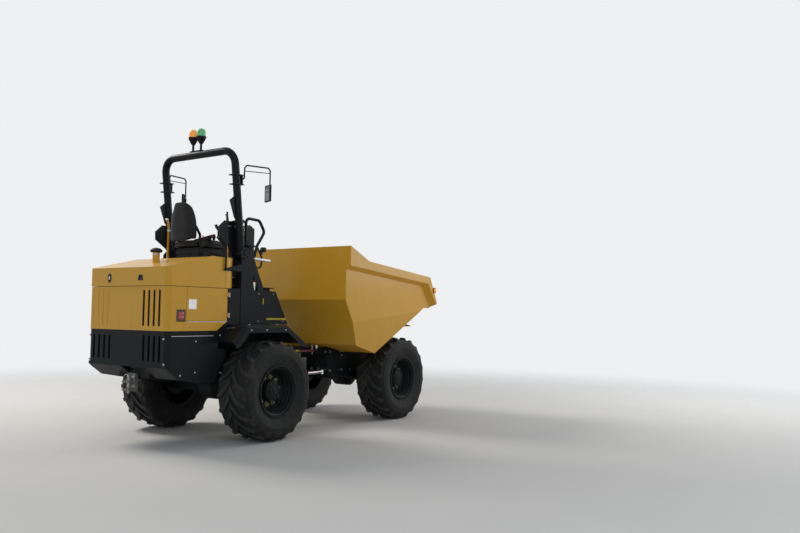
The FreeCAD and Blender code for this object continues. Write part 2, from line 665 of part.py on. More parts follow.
# Each mirror is turned by its own angle about its arm: (side, angle)
mirror_turns = [(1, -52.0), (-1, -22.0)]
mirrors = []
for side, angle in mirror_turns:
    glass = block(-mirror_arm_r - seat_gap - 26, -mirror_arm_r - seat_gap, -75, 75, arm_z - 222, arm_z - 17)
    glass.rotate(vec(0, 0, 0), vec(0, 0, 1), angle)
    mirrors.append(glass.translated(vec(mirror_x, mirror_y * side, 0)))
save("mirrors", *mirrors)

# Beacons on the hoop's top bar: (y of the post)
beacon_rows = (100.0, -40.0)
bracket_z = hoop_top[1] + hoop_tube_r + seat_gap
beacon_z = bracket_z + 172.0
beacon_cone = [(90, 0), (90, 24), (102, 30), (152, 57), (172, 60), (172, 0)]
beacon_stand = [block(hoop_top[0] - 25, hoop_top[0] + 25, -75, 135, bracket_z, bracket_z + 8)]
beacon_stand += [round_z(hoop_top[0], y, 14, bracket_z, beacon_z - 78) for y in beacon_rows]
beacon_stand += [
    turned(beacon_cone, (hoop_top[0], y, bracket_z), (0, 0, 1), (1, 0, 0)) for y in beacon_rows]
save("beacon_bracket", joined(beacon_stand))
for name, y in (("beacon_orange", beacon_rows[0]), ("beacon_green", beacon_rows[1])):
    lens = turned([(0, 0), (0, 61), (8, 61), (8, 57), (72, 54), (90, 46), (100, 28), (103, 0)],
                  (hoop_top[0], y, beacon_z + seat_gap), (0, 0, 1), (1, 0, 0))
    save(name, lens)

# Fenders over the rear wheels: a folded top with a turned-down edge and a bevel along it
fender_sheet = 10.0
fender_fold_y = 900.0
fender_lip_y = 970.0
fender_line = [(-1900, 807), (-1390, fender_top_z), (-690, fender_top_z), (0, 892), (0, 400), (-1900, 400)]
fender_skin = joined([
    plate_xz(fender_line, fender_in_y + seat_gap, fender_fold_y),
    between(fender_line, fender_fold_y, inset(fender_line, 30), fender_lip_y)])
fender_room = joined([
    plate_xz(inset(fender_line, fender_sheet), fender_in_y - 20, fender_fold_y - 2),
    between(inset(fender_line, fender_sheet), fender_fold_y - 2, inset(fender_line, 42), fender_lip_y - fender_sheet)])
fender_mouth = plate_xz(inset(fender_line, 88), fender_lip_y - 40, fender_lip_y + 20)
fender_trim = plate_xz([
    (-1562, 1090), (-1562, 1400), (-350, 1400), (-350, 1078), (-700, 1078), (-700, 1000), (-1350, 1000), (-1350, 1090)],
    400, 1000)
fender = fender_skin.cut(fender_room).cut(fender_mouth).common(fender_trim)
save("fenders", fender, mirrored(fender))

# Side boxes beside the footwell, standing on the fenders' inner halves
side_box = plate_xz([
    (-1020, tower_foot_z), (-1020, 1752), (-620, 1752), (-392, tower_foot_z)], fender_in_y + seat_gap, 660)
save("side_boxes", side_box, mirrored(side_box))

# Steps hung in front of the left rear wheel
steps = joined([
    block(-380, -360, 505, 520, 480, 1040), block(-200, -180, 505, 520, 480, 1040),
    block(-380, -180, 505, 760, 480, 500), block(-380, -180, 505, 700, 780, 800),
    block(-380, -180, rail_outer + seat_gap, 520, 860, 880)])
save("steps", steps)

# Seat: bellows of the suspension, cushion and back
seat_low = cover_peak[1] + seat_gap
fold = 34.0
bellows = [block(-1470 + d, -1080 - d, -200 + d, 200 - d, seat_low + fold * i, seat_low + fold * (i + 1))
           for i, d in enumerate((0, 12, 0, 12))]
save("seat_suspension", joined(bellows))
cushion_low = seat_low + fold * 4 + seat_gap
cushion_top = 2350.0
back_low = cushion_top + seat_gap
save("seat_cushion", block(-1530, -1020, -235, 235, cushion_low, cushion_top))
save("seat_back", plate_xz([(-1450, back_low), (-1500, 2740), (-1580, 2745), (-1560, back_low)], -190, 190))

# Dash with the steering column
dash = plate_xz([
    (-600, floor_z + seat_gap), (-600, 2550), (-680, 2595), (-785, 2450), (-700, 2380), (-700, floor_z + seat_gap)],
    -250, 250)
save("dash", dash)
wheel_centre = vec(-775.0, 0.0, 2600.0)
column_axis = vec(-0.427101, 0.0, 0.904204)
column_across = vec(0.904204, 0.0, 0.427101)
wheel_ring_r = 175.0
column = Part.makeCylinder(30, 130 - seat_gap, wheel_centre - column_axis * 150, column_axis)
save("steering_column", column.cut(dash))
ring_section = [(-12, wheel_ring_r - 6), (-12, wheel_ring_r + 6), (0, wheel_ring_r + 13), (12, wheel_ring_r + 6),
                (12, wheel_ring_r - 6), (0, wheel_ring_r - 13)]
wheel_ring = turned(ring_section, wheel_centre, column_axis, column_across)
wheel_hub = Part.makeCylinder(35, 40, wheel_centre - column_axis * 20, column_axis)
spokes = []
for angle in (90, 210, 330):
    turn = math.radians(angle)
    reach = column_across * math.cos(turn) * wheel_ring_r + vec(0, wheel_ring_r * math.sin(turn), 0)
    spokes.append(Part.makeCylinder(8, reach.Length, wheel_centre, reach))
knob_at = wheel_centre - column_across * 124 + vec(0, 124, 0) + column_axis * 10
knob = Part.makeCylinder(18, 45, knob_at, column_axis)
save("steering_wheel", joined([wheel_ring, wheel_hub, knob] + spokes))

# Guard rails in front of the towers, black: a tall loop, a low loop and a cross bar
guard_y = hoop_half - 45.0
tall_loop = swept_tube([
    (-1060, guard_y, 2060), (-1075, guard_y, 2622), (-847, guard_y, 2615), (-754, guard_y, 2481),
    (-873, guard_y, 2310), (-960, guard_y, 2060)], 18, 60)
low_loop = swept_tube([
    (-1040, guard_y, 2300), (-872, guard_y, 2290), (-793, guard_y, 2165), (-801, guard_y, 2039),
    (-1000, guard_y, 2020)], 11, 45)
cross_bar = bar((-1062, guard_y, 2147), (-652, guard_y, 2129), 17)
guard_foot = block(-1075, -945, guard_y - 20, guard_y + 4.5, 1985, 2075)
guard = joined([tall_loop, low_loop, cross_bar, guard_foot])
save("guard_rails", guard, mirrored(guard))

# Yellow hand rails beside the seat
hand = bent_rod([(-1322, 530, cover_peak[1] + seat_gap), (-1322, 530, 2590), (-1350, 530, 2640)], 14, 30)
save("hand_rails", hand, mirrored(hand))

# Tail lamps in the pockets of the sides, near the rear corners, each with two lenses
lamp_in_y = bonnet_half - pocket_depth + seat_gap
lamp = joined([
    block(-2156, -2048, lamp_in_y, lamp_in_y + 18, 1392, 1500),
    block(-2150, -2054, lamp_in_y + 17, lamp_in_y + 26, 1448, 1494),
    block(-2150, -2054, lamp_in_y + 17, lamp_in_y + 26, 1398, 1442)])
save("tail_lamps", lamp, mirrored(lamp))

# Front chassis: side boxes between the wheels, the knuckle and towers for the skip's pins
front_in_y = 380.0
front_out_y = 450.0
front_top_z = 940.0
front_back_x = 655.0
side_outline = [
    (front_back_x, 650), (front_back_x, 1028), (950, 953), (1500, front_top_z), (1720, 1080), (1950, 1080), (2050, 900),
    (2050, 540), (1400, 550)]
axle_notch = block(
    front_axle_x - beam_half - 5, front_axle_x + beam_half + 5, front_in_y - 10, front_out_y + 10, 400,
    axle_z + beam_half + seat_gap)
front_side = plate_xz(side_outline, front_in_y, front_out_y).cut(axle_notch)
front_plate = block(front_back_x, front_back_x + 30, -front_out_y, front_out_y, 650, 1014)
front_flange = block(front_back_x, 1040, front_in_y, front_out_y + 22, 640, 652)
front_end = block(2020, 2050, -front_in_y, front_in_y, 560, 860)
front_knuckle = joined([
    block(joint_x, front_back_x + 10, -knuckle_r, knuckle_r, knuckle_low, knuckle_high),
    round_z(joint_x, 0, knuckle_r, knuckle_low, knuckle_high)])
front_knuckle = front_knuckle.cut(round_z(joint_x, 0, joint_pin_r + run_gap, knuckle_low - 10, knuckle_high + 10))
skip_pin = round_y(skip_pivot[0], skip_pivot[1], skip_pin_r, 300, front_out_y)
steer_eye_lug = joined(ears(
    steer_eye[0] - 25, front_back_x + 5, steer_eye[1] - 30, steer_eye[1] + 20, steer_z, steer_gap) + [
    round_z(steer_eye[0], steer_eye[1], steer_pin_r, steer_z + steer_gap + 2, steer_z + steer_gap + steer_ear + 10),
    round_z(steer_eye[0], steer_eye[1], steer_pin_r, steer_z - steer_gap - steer_ear - 10, steer_z - steer_gap - 2)])
tip_shaft = round_y(tip_base[0], tip_base[1], tip_pin_r, -front_in_y - 5, front_in_y + 5)
rest_pad = plate_xz([
    (800, front_top_z - 5), (800, 997.5), (915, 968.1), (915, front_top_z - 5)], front_in_y, front_out_y)
lock_lug = plate_xz([(460, 950), (460, 1000), (640, 1000), (690, front_top_z), (640, front_top_z - 10), (520, 950)], -390, -330)
save("front_chassis", joined([
    pair(front_side), front_plate, pair(front_flange), front_end, front_knuckle, pair(skip_pin), pair(steer_eye_lug), tip_shaft,
    pair(rest_pad), lock_lug, block(640, 690, -390, -330, front_top_z - 30, 960)]))

# Articulation lock: a red bar stowed on the front frame's lug
lock_bar = joined([
    block(160, 458, -372, -348, 972, 990), block(459.7 - 30, 459.7, -380, -340, 962, 1000),
    round_z(180, -360, 24, 970, 992)])
save("lock_bar", lock_bar)

# Skip: hollow, of folded plate. Above a rising crease its sides are upright, below they taper
# in, and a broader rim runs along the top and down the front of each side, joined by a bevel.
# Side outline, as (x, z)
rear_top = (162.0, 2366.0)
top_kink = (572.0, 2187.0)
top_front = (2099.0, 2046.0)
lip_tip = (2297.0, 1664.0)
lip_low = (2188.0, 1591.0)
under_kink = (2030.0, 1593.0)
bottom_vertex = (960.0, 957.0)
bottom_rear = (490.0, 1077.0)
rear_kink = (162.0, 1670.0)
crease_z = 1346.0
crease_slope = 0.098
taper_depth = 600.0
taper_in = 132.0
belly_slope = (under_kink[1] - bottom_vertex[1]) / (under_kink[0] - bottom_vertex[0])
skip_outline = [
    rear_top, top_kink, top_front, lip_tip, lip_low, under_kink, bottom_vertex, bottom_rear, rear_kink]


def belly_z(x):
    return bottom_vertex[1] + belly_slope * (x - bottom_vertex[0])


def skip_section(half):
    low = half - taper_in
    points = [
        (-half, 3000), (-half, crease_z), (-low, crease_z - taper_depth), (low, crease_z - taper_depth),
        (half, crease_z), (half, 3000)]
    face = face_of([vec(0, y, z) for y, z in points])
    return face.extrude(vec(2600, 0, 2600 * crease_slope))


# The rim's lower edge, outside at its full width and inside where the bevel meets the side
rim_out = [(2270.0, 1646.0), (2041.0, 1949.0), (162.0, 2110.0)]
rim_in = [(2190.0, 1604.0), (1999.0, 1908.0), (162.0, 2065.0)]
rim_top = [rear_top, top_kink, top_front, lip_tip]
rim_skin = between(
    rim_top + rim_in, skip_half - 1, rim_top + rim_out, rim_half)
skip_skin = joined([
    plate_xz(skip_outline, -skip_half, skip_half).common(skip_section(skip_half)), pair(rim_skin)])
inner = inset(skip_outline, skip_wall)
lip_slope = (lip_tip[1] - lip_low[1]) / (lip_tip[0] - lip_low[0])
lip_reach = 200.0
room_outline = [
    (inner[0][0], 2600), (lip_tip[0] + lip_reach, 2600),
    (inner[4][0] + lip_reach * 1.5, inner[4][1] + lip_slope * lip_reach * 1.5)] + inner[4:]
room_half = skip_half - skip_wall
skip_room = plate_xz(room_outline, -room_half, room_half).common(skip_section(room_half))
rim_room_in = [(2600, 2600), (2600, 1960), (2240, 1645), (1999, 1920), (172, 2077), (172, 2600)]
rim_room_out = [(2600, 2600), (2600, 1960), (2310, 1675), (2041, 1964), (172, 2124), (172, 2600)]
rim_room = between(rim_room_in, room_half - 1, rim_room_out, rim_half - skip_wall)
skip_shell = skip_skin.cut(skip_room).cut(rim_room).cut(mirrored(rim_room))

# Hinge plates under the belly, with a boss for each pivot pin, and ears for the tipping rods
hinge_y = (310.0, 340.0)
boss_r = 70.0
hinge_plate = joined([
    plate_xz([
        (1180, belly_z(1180) + 5), (1975, belly_z(1975) + 5), (skip_pivot[0] + 68, skip_pivot[1] + 20),
        (skip_pivot[0], skip_pivot[1] - 60), (skip_pivot[0] - 68, skip_pivot[1] + 20), (1640, 1200),
        (1320, belly_z(1320) - 60)], *hinge_y),
    round_y(skip_pivot[0], skip_pivot[1], boss_r, *hinge_y)])
hinge_plate = hinge_plate.cut(round_y(skip_pivot[0], skip_pivot[1], skip_pin_r + run_gap, 290, 360))
ear_outline = [
    (tip_eye[0] - 130, belly_z(tip_eye[0] - 130) + 5), (tip_eye[0] + 110, belly_z(tip_eye[0] + 110) + 5),
    (tip_eye[0] + 45, tip_eye[1] - 40), (tip_eye[0] - 45, tip_eye[1] - 40)]
tip_ears = [plate_xz(ear_outline, y, y + 14) for y in (tip_y - 47, tip_y + 33)]
tip_ears += [
    round_y(tip_eye[0], tip_eye[1], tip_pin_r, tip_y - 57, tip_y - 35),
    round_y(tip_eye[0], tip_eye[1], tip_pin_r, tip_y + 35, tip_y + 57)]
bracket_x = 1640.0
lip_bracket = joined([
    block(bracket_x - 80, bracket_x + 200, 1000, 1060, 1316, 1324),
    plate_xz([(bracket_x - 60, 1322), (bracket_x + 100, belly_z(bracket_x + 100) + 5),
              (bracket_x + 140, belly_z(bracket_x + 140) + 5), (bracket_x + 60, 1322)], 1024, 1034)])
save("skip", joined([skip_shell, pair(hinge_plate), pair(joined(tip_ears)), pair(lip_bracket)]))
marker = block(2190, 2236, rim_half + seat_gap, rim_half + 22, 1826, 1884)
save("skip_lamps", marker, mirrored(marker))


# Tipping cylinders, two side by side, parted at the rods' eyes
def way(start, end):
    span = math.hypot(end[0] - start[0], end[1] - start[1])
    return span, ((end[0] - start[0]) / span, (end[1] - start[1]) / span)


tip_length, tip_unit = way(tip_base, tip_eye)


def tip_at(distance, y):
    return (tip_base[0] + tip_unit[0] * distance, y, tip_base[1] + tip_unit[1] * distance)


tip_barrel = joined([
    bar(tip_at(25, tip_y), tip_at(tip_length - 90, tip_y), tip_barrel_r),
    round_y(tip_base[0], tip_base[1], 45, tip_y - 30, tip_y + 30)])
tip_barrel = tip_barrel.cut(bar(tip_at(70, tip_y), tip_at(tip_length, tip_y), tip_rod_r + run_gap))
tip_barrel = tip_barrel.cut(round_y(tip_base[0], tip_base[1], tip_pin_r + run_gap, tip_y - 60, tip_y + 60))
tip_rod = joined([
    bar(tip_at(90, tip_y), tip_at(tip_length, tip_y), tip_rod_r),
    round_y(tip_eye[0], tip_eye[1], 38, tip_y - 28, tip_y + 28)])
save("tip_barrels", tip_barrel, mirrored(tip_barrel))
save("tip_rods", tip_rod, mirrored(tip_rod))

# Steering cylinders, one on each side, parted at the rods' eyes
steer_length, steer_unit = way(steer_base, steer_eye)


def steer_at(distance):
    return (steer_base[0] + steer_unit[0] * distance, steer_base[1] + steer_unit[1] * distance, steer_z)


steer_eye_r = 32.0
steer_eye_half = 27.0
steer_barrel = joined([
    bar(steer_at(45), steer_at(steer_barrel_length), steer_barrel_r),
    bar(steer_at(10), steer_at(46), 20),
    round_z(steer_base[0], steer_base[1], steer_eye_r, steer_z - steer_eye_half, steer_z + steer_eye_half)])
steer_barrel = steer_barrel.cut(bar(steer_at(60), steer_at(steer_length), steer_rod_r + run_gap))
steer_barrel = steer_barrel.cut(round_z(
    steer_base[0], steer_base[1], steer_pin_r + run_gap, steer_z - 60, steer_z + 60))
steer_rod = joined([
    bar(steer_at(steer_rod_start), steer_at(steer_length - 10), steer_rod_r),
    round_z(steer_eye[0], steer_eye[1], steer_eye_r, steer_z - steer_eye_half, steer_z + steer_eye_half)])
save("steer_barrel_left", steer_barrel)
save("steer_barrel_right", mirrored(steer_barrel))
save("steer_rod_left", steer_rod)
save("steer_rod_right", mirrored(steer_rod))
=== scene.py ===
import bpy
import bmesh
import json
import math
import random
from mathutils import Matrix, Vector


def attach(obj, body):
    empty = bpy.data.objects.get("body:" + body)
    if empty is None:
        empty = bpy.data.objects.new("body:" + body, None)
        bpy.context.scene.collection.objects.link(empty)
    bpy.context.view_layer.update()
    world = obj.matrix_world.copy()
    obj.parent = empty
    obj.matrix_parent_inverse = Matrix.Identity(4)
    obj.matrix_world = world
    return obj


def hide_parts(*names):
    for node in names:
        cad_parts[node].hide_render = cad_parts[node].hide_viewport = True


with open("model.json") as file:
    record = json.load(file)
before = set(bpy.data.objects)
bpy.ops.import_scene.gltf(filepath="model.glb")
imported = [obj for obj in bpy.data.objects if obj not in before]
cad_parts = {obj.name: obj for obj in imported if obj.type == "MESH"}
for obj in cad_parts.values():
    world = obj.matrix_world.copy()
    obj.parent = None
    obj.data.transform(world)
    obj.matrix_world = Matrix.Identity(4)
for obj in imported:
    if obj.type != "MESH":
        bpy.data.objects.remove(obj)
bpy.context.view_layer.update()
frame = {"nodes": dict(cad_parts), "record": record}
nodes = frame["nodes"]
random.seed(7)
print("frame loaded:", len(nodes), "nodes")


# Shader maths
class Val:
    # one output socket of a material, with sums written as plain expressions
    def __init__(self, finish, socket):
        self.finish = finish
        self.socket = socket

    def maths(self, operation, first, second=None, clamp=False):
        values = {0: first} if second is None else {0: first, 1: second}
        return self.finish.node("ShaderNodeMath", {"operation": operation, "use_clamp": clamp}, values)

    def __add__(self, other): return self.maths("ADD", self, other)
    def __radd__(self, other): return self.maths("ADD", other, self)
    def __sub__(self, other): return self.maths("SUBTRACT", self, other)
    def __rsub__(self, other): return self.maths("SUBTRACT", other, self)
    def __mul__(self, other): return self.maths("MULTIPLY", self, other)
    def __rmul__(self, other): return self.maths("MULTIPLY", other, self)
    def __abs__(self): return self.maths("ABSOLUTE", self)

    def clamp(self): return self.maths("ADD", self, 0.0, clamp=True)
    def wave(self): return self.maths("SINE", self)
    def root(self): return self.maths("SQRT", self)

    def ramp(self, low, high, start=0.0, end=1.0):
        # 0..1 (or start..end) as the value goes from low to high, eased at both ends
        return self.finish.node(
            "ShaderNodeMapRange", {"interpolation_type": "SMOOTHSTEP"},
            {"Value": self, "From Min": low, "From Max": high, "To Min": start, "To Max": end})


class Finish:
    # a material and the few calls that build it
    def __init__(self, name, **sockets):
        self.material = bpy.data.materials.new(name)
        self.material.use_nodes = True
        self.tree = self.material.node_tree
        self.shader = self.tree.nodes["Principled BSDF"]
        self.coords = self.node("ShaderNodeTexCoord", out="Object")
        self.setSockets(**sockets)

    def node(self, kind, settings=None, inputs=None, out=0):
        new = self.tree.nodes.new(kind)
        for key, value in (settings or {}).items():
            if key == "stops":
                while len(new.color_ramp.elements) < len(value):
                    new.color_ramp.elements.new(0.5)
                for element, (place, colour) in zip(new.color_ramp.elements, value):
                    element.position = place
                    element.color = colour
            else:
                setattr(new, key, value)
        for key, value in (inputs or {}).items():
            self.feed(new.inputs[key], value)
        return Val(self, new.outputs[out])

    def feed(self, socket, value):
        if isinstance(value, Val):
            self.tree.links.new(value.socket, socket)
        else:
            socket.default_value = value

    def setSockets(self, **sockets):
        for key, value in sockets.items():
            self.feed(self.shader.inputs[key.replace("_", " ")], value)

    def mapped(self, scale=(1, 1, 1), location=(0, 0, 0), turn=(0, 0, 0)):
        return self.node("ShaderNodeMapping", None, {
            "Vector": self.coords, "Scale": scale, "Location": location, "Rotation": turn})

    def noise(self, scale, detail=4.0, roughness=0.55, stretch=None, distortion=0.0):
        vector = self.mapped(stretch) if stretch else self.coords
        return self.node("ShaderNodeTexNoise", None, {
            "Vector": vector, "Scale": scale, "Detail": detail, "Roughness": roughness, "Distortion": distortion})

    def cells(self, scale, feature="F1", stretch=None):
        vector = self.mapped(stretch) if stretch else self.coords
        return self.node("ShaderNodeTexVoronoi", {"feature": feature}, {"Vector": vector, "Scale": scale})

    def mix(self, first, second, factor):
        new = self.tree.nodes.new("ShaderNodeMix")
        new.data_type = "RGBA"
        self.feed(new.inputs[0], factor)
        self.feed(new.inputs[6], first)
        self.feed(new.inputs[7], second)
        return Val(self, new.outputs[2])

    def parts(self, axes):
        # the named axes of the object coordinates, each by itself
        split = self.tree.nodes.new("ShaderNodeSeparateXYZ")
        self.feed(split.inputs[0], self.coords)
        return [Val(self, split.outputs[axis]) for axis in axes]

    def facing(self):
        # how far a face looks upward, from -1 to 1
        split = self.tree.nodes.new("ShaderNodeSeparateXYZ")
        self.feed(split.inputs[0], self.node("ShaderNodeNewGeometry", out="Normal"))
        return Val(self, split.outputs[2])

    def edges(self, radius):
        # 1 on sharp edges, 0 on flats, from how a rounded normal leaves the true one
        rounded = self.node("ShaderNodeBevel", {"samples": 4}, {"Radius": radius})
        true = self.node("ShaderNodeNewGeometry", out="Normal")
        dot = self.tree.nodes.new("ShaderNodeVectorMath")
        dot.operation = "DOT_PRODUCT"
        self.feed(dot.inputs[0], rounded)
        self.feed(dot.inputs[1], true)
        return (1.0 - Val(self, dot.outputs["Value"])).ramp(0.02, 0.25)

    def bump(self, height, strength=0.3, distance=0.001):
        self.feed(self.shader.inputs["Normal"], self.node("ShaderNodeBump", None, {
            "Height": height, "Strength": strength, "Distance": distance}))


# Finishes
dustLook = {
    "colour": (0.30, 0.25, 0.19, 1),
    "onBlack": (0.110, 0.112, 0.108, 1),
    "lowZ": 0.25,
    "highZ": 1.55,
}


def dustAmount(finish, most=0.8, least=0.05, onTop=0.25):
    # road dust: thick low down, thin higher up, and a little more on faces that look up
    height = finish.parts("Z")[0].ramp(dustLook["lowZ"], dustLook["highZ"], most, least)
    patch = finish.noise(2.3, 6.0, 0.6).ramp(0.38, 0.68)
    fine = finish.noise(38.0, 5.0, 0.7).ramp(0.35, 0.7)
    top = finish.facing().ramp(0.35, 0.95, 0.0, onTop)
    return ((height * (0.35 + patch * 0.65) + top * patch) * (0.45 + fine * 0.55)).clamp()


paintLook = {
    "yellow": (0.760, 0.395, 0.022, 1),
    "yellowSun": (0.800, 0.430, 0.032, 1),
    "black": (0.0085, 0.0105, 0.0125, 1),
    "blackWorn": (0.030, 0.034, 0.038, 1),
    "rim": (0.014, 0.015, 0.016, 1),
}


def makeYellow():
    f = Finish("yellowPaint", Coat_Roughness=0.12, Specular_IOR_Level=0.25)
    base = f.mix(paintLook["yellow"], paintLook["yellowSun"], f.noise(1.4, 3.0))
    streak = f.noise(9.0, 5.0, 0.6, stretch=(3.0, 3.0, 0.22)).ramp(0.52, 0.78)
    grime = (streak * f.parts("Z")[0].ramp(0.9, 2.2, 0.42, 0.12)).clamp()
    base = f.mix(base, (0.42, 0.255, 0.06, 1), grime)
    chips = (f.noise(95.0, 6.0, 0.75).ramp(0.60, 0.66) * f.edges(0.006)).clamp()
    base = f.mix(base, (0.10, 0.075, 0.05, 1), chips * 0.8)
    dust = dustAmount(f, 0.30, 0.03, 0.12)
    colour = f.mix(base, dustLook["colour"], dust)
    f.setSockets(
        Base_Color=colour, Roughness=(0.30 + dust * 0.4 + f.noise(14.0, 4.0) * 0.10 + chips * 0.3).clamp(),
        Coat_Weight=(0.28 - dust * 0.4).clamp())
    f.bump(f.noise(210.0, 2.0, 0.5) * 0.5 + f.noise(3.5, 2.0) * 2.0, 0.10, 0.0012)
    return f.material


def makeBlack(name="blackPaint", base="black", gloss=0.34, dustMost=0.72):
    f = Finish(name, Coat_Roughness=0.2, Specular_IOR_Level=0.07)
    worn = (f.edges(0.005) * f.noise(60.0, 6.0, 0.7).ramp(0.45, 0.62)).clamp()
    blotch = f.noise(5.0, 5.0, 0.6).ramp(0.35, 0.75)
    colour = f.mix(paintLook[base], paintLook["blackWorn"], worn * 0.75 + blotch * 0.16)
    dust = dustAmount(f, dustMost, 0.03, 0.30)
    f.setSockets(
        Base_Color=f.mix(colour, dustLook["onBlack"], dust * 0.26),
        Roughness=(gloss + dust * 0.5 + blotch * 0.12).clamp(), Coat_Weight=(0.09 - dust * 0.2).clamp())
    f.bump(f.noise(260.0, 3.0, 0.6) * 0.6 + f.noise(4.0, 2.0) * 1.5, 0.14, 0.0010)
    return f.material


wheelLook = {
    "axleMiddle": 0.32,     # halfway between the axles
    "axleReach": 1.295,     # from there to each axle
    "axleZ": 0.58,
    "rubber": (0.0105, 0.0110, 0.0112, 1),
    "rubberGrey": (0.021, 0.0225, 0.0235, 1),
    "mud": (0.165, 0.150, 0.125, 1),
}


def makeTyre():
    f = Finish("tyreRubber", Specular_IOR_Level=0.22)
    x, z = f.parts("XZ")
    along = abs(x - wheelLook["axleMiddle"]) - wheelLook["axleReach"]
    up = z - wheelLook["axleZ"]
    radius = (along * along + up * up).root()
    tread = radius.ramp(0.520, 0.578)                      # 0 on the carcass, 1 on the lugs' tops
    # the grooves between the lugs: they get painted shade, and mud
    grooveShadeAndMud = radius.ramp(0.470, 0.545) * (1.0 - radius.ramp(0.553, 0.574))
    blotch = f.noise(7.0, 6.0, 0.65)
    fine = f.noise(70.0, 6.0, 0.75)
    # rubber in random blotches, lighter on the lugs' tops as a painted highlight and darker in the grooves as painted
    # shade
    rubberWithPaintedLight = f.mix(
        wheelLook["rubber"], wheelLook["rubberGrey"],
        (blotch.ramp(0.3, 0.7) * 0.5 + tread * 0.45 - grooveShadeAndMud * 0.6).clamp())
    rings = ((radius * 420.0).wave() * 0.5 + 0.5) * (1.0 - radius.ramp(0.455, 0.480)) * radius.ramp(0.36, 0.375)
    mud = (grooveShadeAndMud * blotch.ramp(0.50, 0.72) * 0.20 + fine.ramp(0.5, 0.75) * 0.07
           + blotch.ramp(0.50, 0.72) * 0.12 * (1.0 - tread)).clamp()
    # the lugs' tops turn paler grey: partly scuffing, partly a painted highlight
    scuffAndLitTops = (tread * (0.35 + fine.ramp(0.42, 0.66) * 0.45)).clamp()
    colour = f.mix(f.mix(rubberWithPaintedLight, (0.058, 0.060, 0.060, 1), scuffAndLitTops), wheelLook["mud"], mud)
    f.setSockets(Base_Color=colour, Roughness=(0.62 + mud * 0.33 + fine * 0.12 - tread * 0.06).clamp())
    f.bump(rings * 0.5 + fine * 0.8 + blotch * 0.8, 0.35, 0.0018)
    return f.material


def makePlastic(name, colour, gloss=0.5, grain=420.0, dustMost=0.25):
    f = Finish(name, Specular_IOR_Level=0.22)
    speckle = f.cells(grain)
    dust = dustAmount(f, dustMost, 0.04, 0.22)
    tone = f.mix(
        colour, tuple(min(1.0, c * 2.1 + 0.012) for c in colour[:3]) + (1,), f.noise(12.0, 4.0).ramp(0.4, 0.75) * 0.4)
    f.setSockets(
        Base_Color=f.mix(tone, dustLook["onBlack"], dust * 0.4),
        Roughness=(gloss + dust * 0.3 + speckle * 0.15).clamp())
    f.bump(speckle * 1.0 + f.noise(900.0, 2.0) * 0.4, 0.22, 0.0006)
    return f.material


def makeVinyl():
    f = Finish("seatVinyl", Specular_IOR_Level=0.14)
    grain = f.cells(260.0, "DISTANCE_TO_EDGE")
    crease = f.noise(16.0, 4.0, 0.6, distortion=1.2).ramp(0.47, 0.53)
    wear = f.noise(6.0, 5.0, 0.6).ramp(0.45, 0.75)
    dust = dustAmount(f, 0.2, 0.08, 0.30)
    base = f.mix((0.0085, 0.0095, 0.0105, 1), (0.022, 0.023, 0.024, 1), wear * 0.5 + grain.ramp(0.0, 0.12) * 0.2)
    f.setSockets(
        Base_Color=f.mix(base, dustLook["onBlack"], dust * 0.4), Roughness=(0.42 + wear * 0.16 + dust * 0.3).clamp())
    f.bump(grain.ramp(0.0, 0.16) * 0.5 + crease * 0.5, 0.30, 0.0008)
    return f.material


def makeMetal(name, colour, gloss, brushed=0.0, dustMost=0.2):
    f = Finish(name, Metallic=1.0)
    smear = f.noise(30.0, 5.0, 0.65)
    lines = f.noise(160.0, 3.0, 0.6, stretch=(0.06, 1.0, 1.0))
    dust = dustAmount(f, dustMost, 0.02, 0.2)
    tone = f.mix(colour, tuple(c * 0.62 for c in colour[:3]) + (1,), smear.ramp(0.42, 0.75) * 0.6)
    f.setSockets(
        Base_Color=f.mix(tone, dustLook["colour"], dust), Metallic=(1.0 - dust * 0.85).clamp(),
        Roughness=(gloss + smear * 0.12 + lines * brushed + dust * 0.5).clamp())
    f.bump(lines + smear, 0.08, 0.0005)
    return f.material


def makeLens(name, colour, deep, ribs=190.0, glow=0.22):
    f = Finish(name, Coat_Roughness=0.04, IOR=1.49)
    rib = (f.parts("Z")[0] * ribs * 6.2832).wave() * 0.5 + 0.5
    colours = f.mix(colour, deep, rib.ramp(0.2, 0.9) * 0.45 + f.noise(40.0, 3.0) * 0.2)
    lit = f.mix((0, 0, 0, 1), colour, 0.35 + rib * 0.2)
    f.setSockets(
        Base_Color=colours, Roughness=(0.14 + f.noise(60.0, 4.0).ramp(0.45, 0.75) * 0.25).clamp(), Coat_Weight=0.8,
        Emission_Color=lit, Emission_Strength=glow)
    f.bump(rib, 0.30, 0.0010)
    return f.material


def makeRed():
    f = Finish("redPaint", Coat_Roughness=0.15)
    worn = (f.edges(0.004) * f.noise(70.0, 5.0, 0.7).ramp(0.42, 0.6)).clamp()
    base = f.mix((0.24, 0.010, 0.008, 1), (0.17, 0.012, 0.010, 1), f.noise(18.0, 4.0))
    dust = dustAmount(f, 0.35, 0.05, 0.25)
    f.setSockets(
        Base_Color=f.mix(f.mix(base, (0.14, 0.11, 0.09, 1), worn), dustLook["colour"], dust),
        Roughness=(0.33 + dust * 0.4).clamp(),
        Coat_Weight=(0.4 - dust * 0.4).clamp())
    f.bump(f.noise(200.0, 3.0), 0.1, 0.0008)
    return f.material


def makeAlloy():
    f = Finish("engineAlloy")
    cast = f.noise(120.0, 6.0, 0.7)
    oil = f.noise(6.0, 5.0, 0.6).ramp(0.5, 0.72)
    f.setSockets(
        Base_Color=f.mix((0.22, 0.22, 0.225, 1), (0.035, 0.030, 0.026, 1), oil * 0.8),
        Metallic=(0.65 - oil * 0.5).clamp(),
        Roughness=(0.5 + cast * 0.2 - oil * 0.12).clamp())
    f.bump(cast, 0.4, 0.0010)
    return f.material


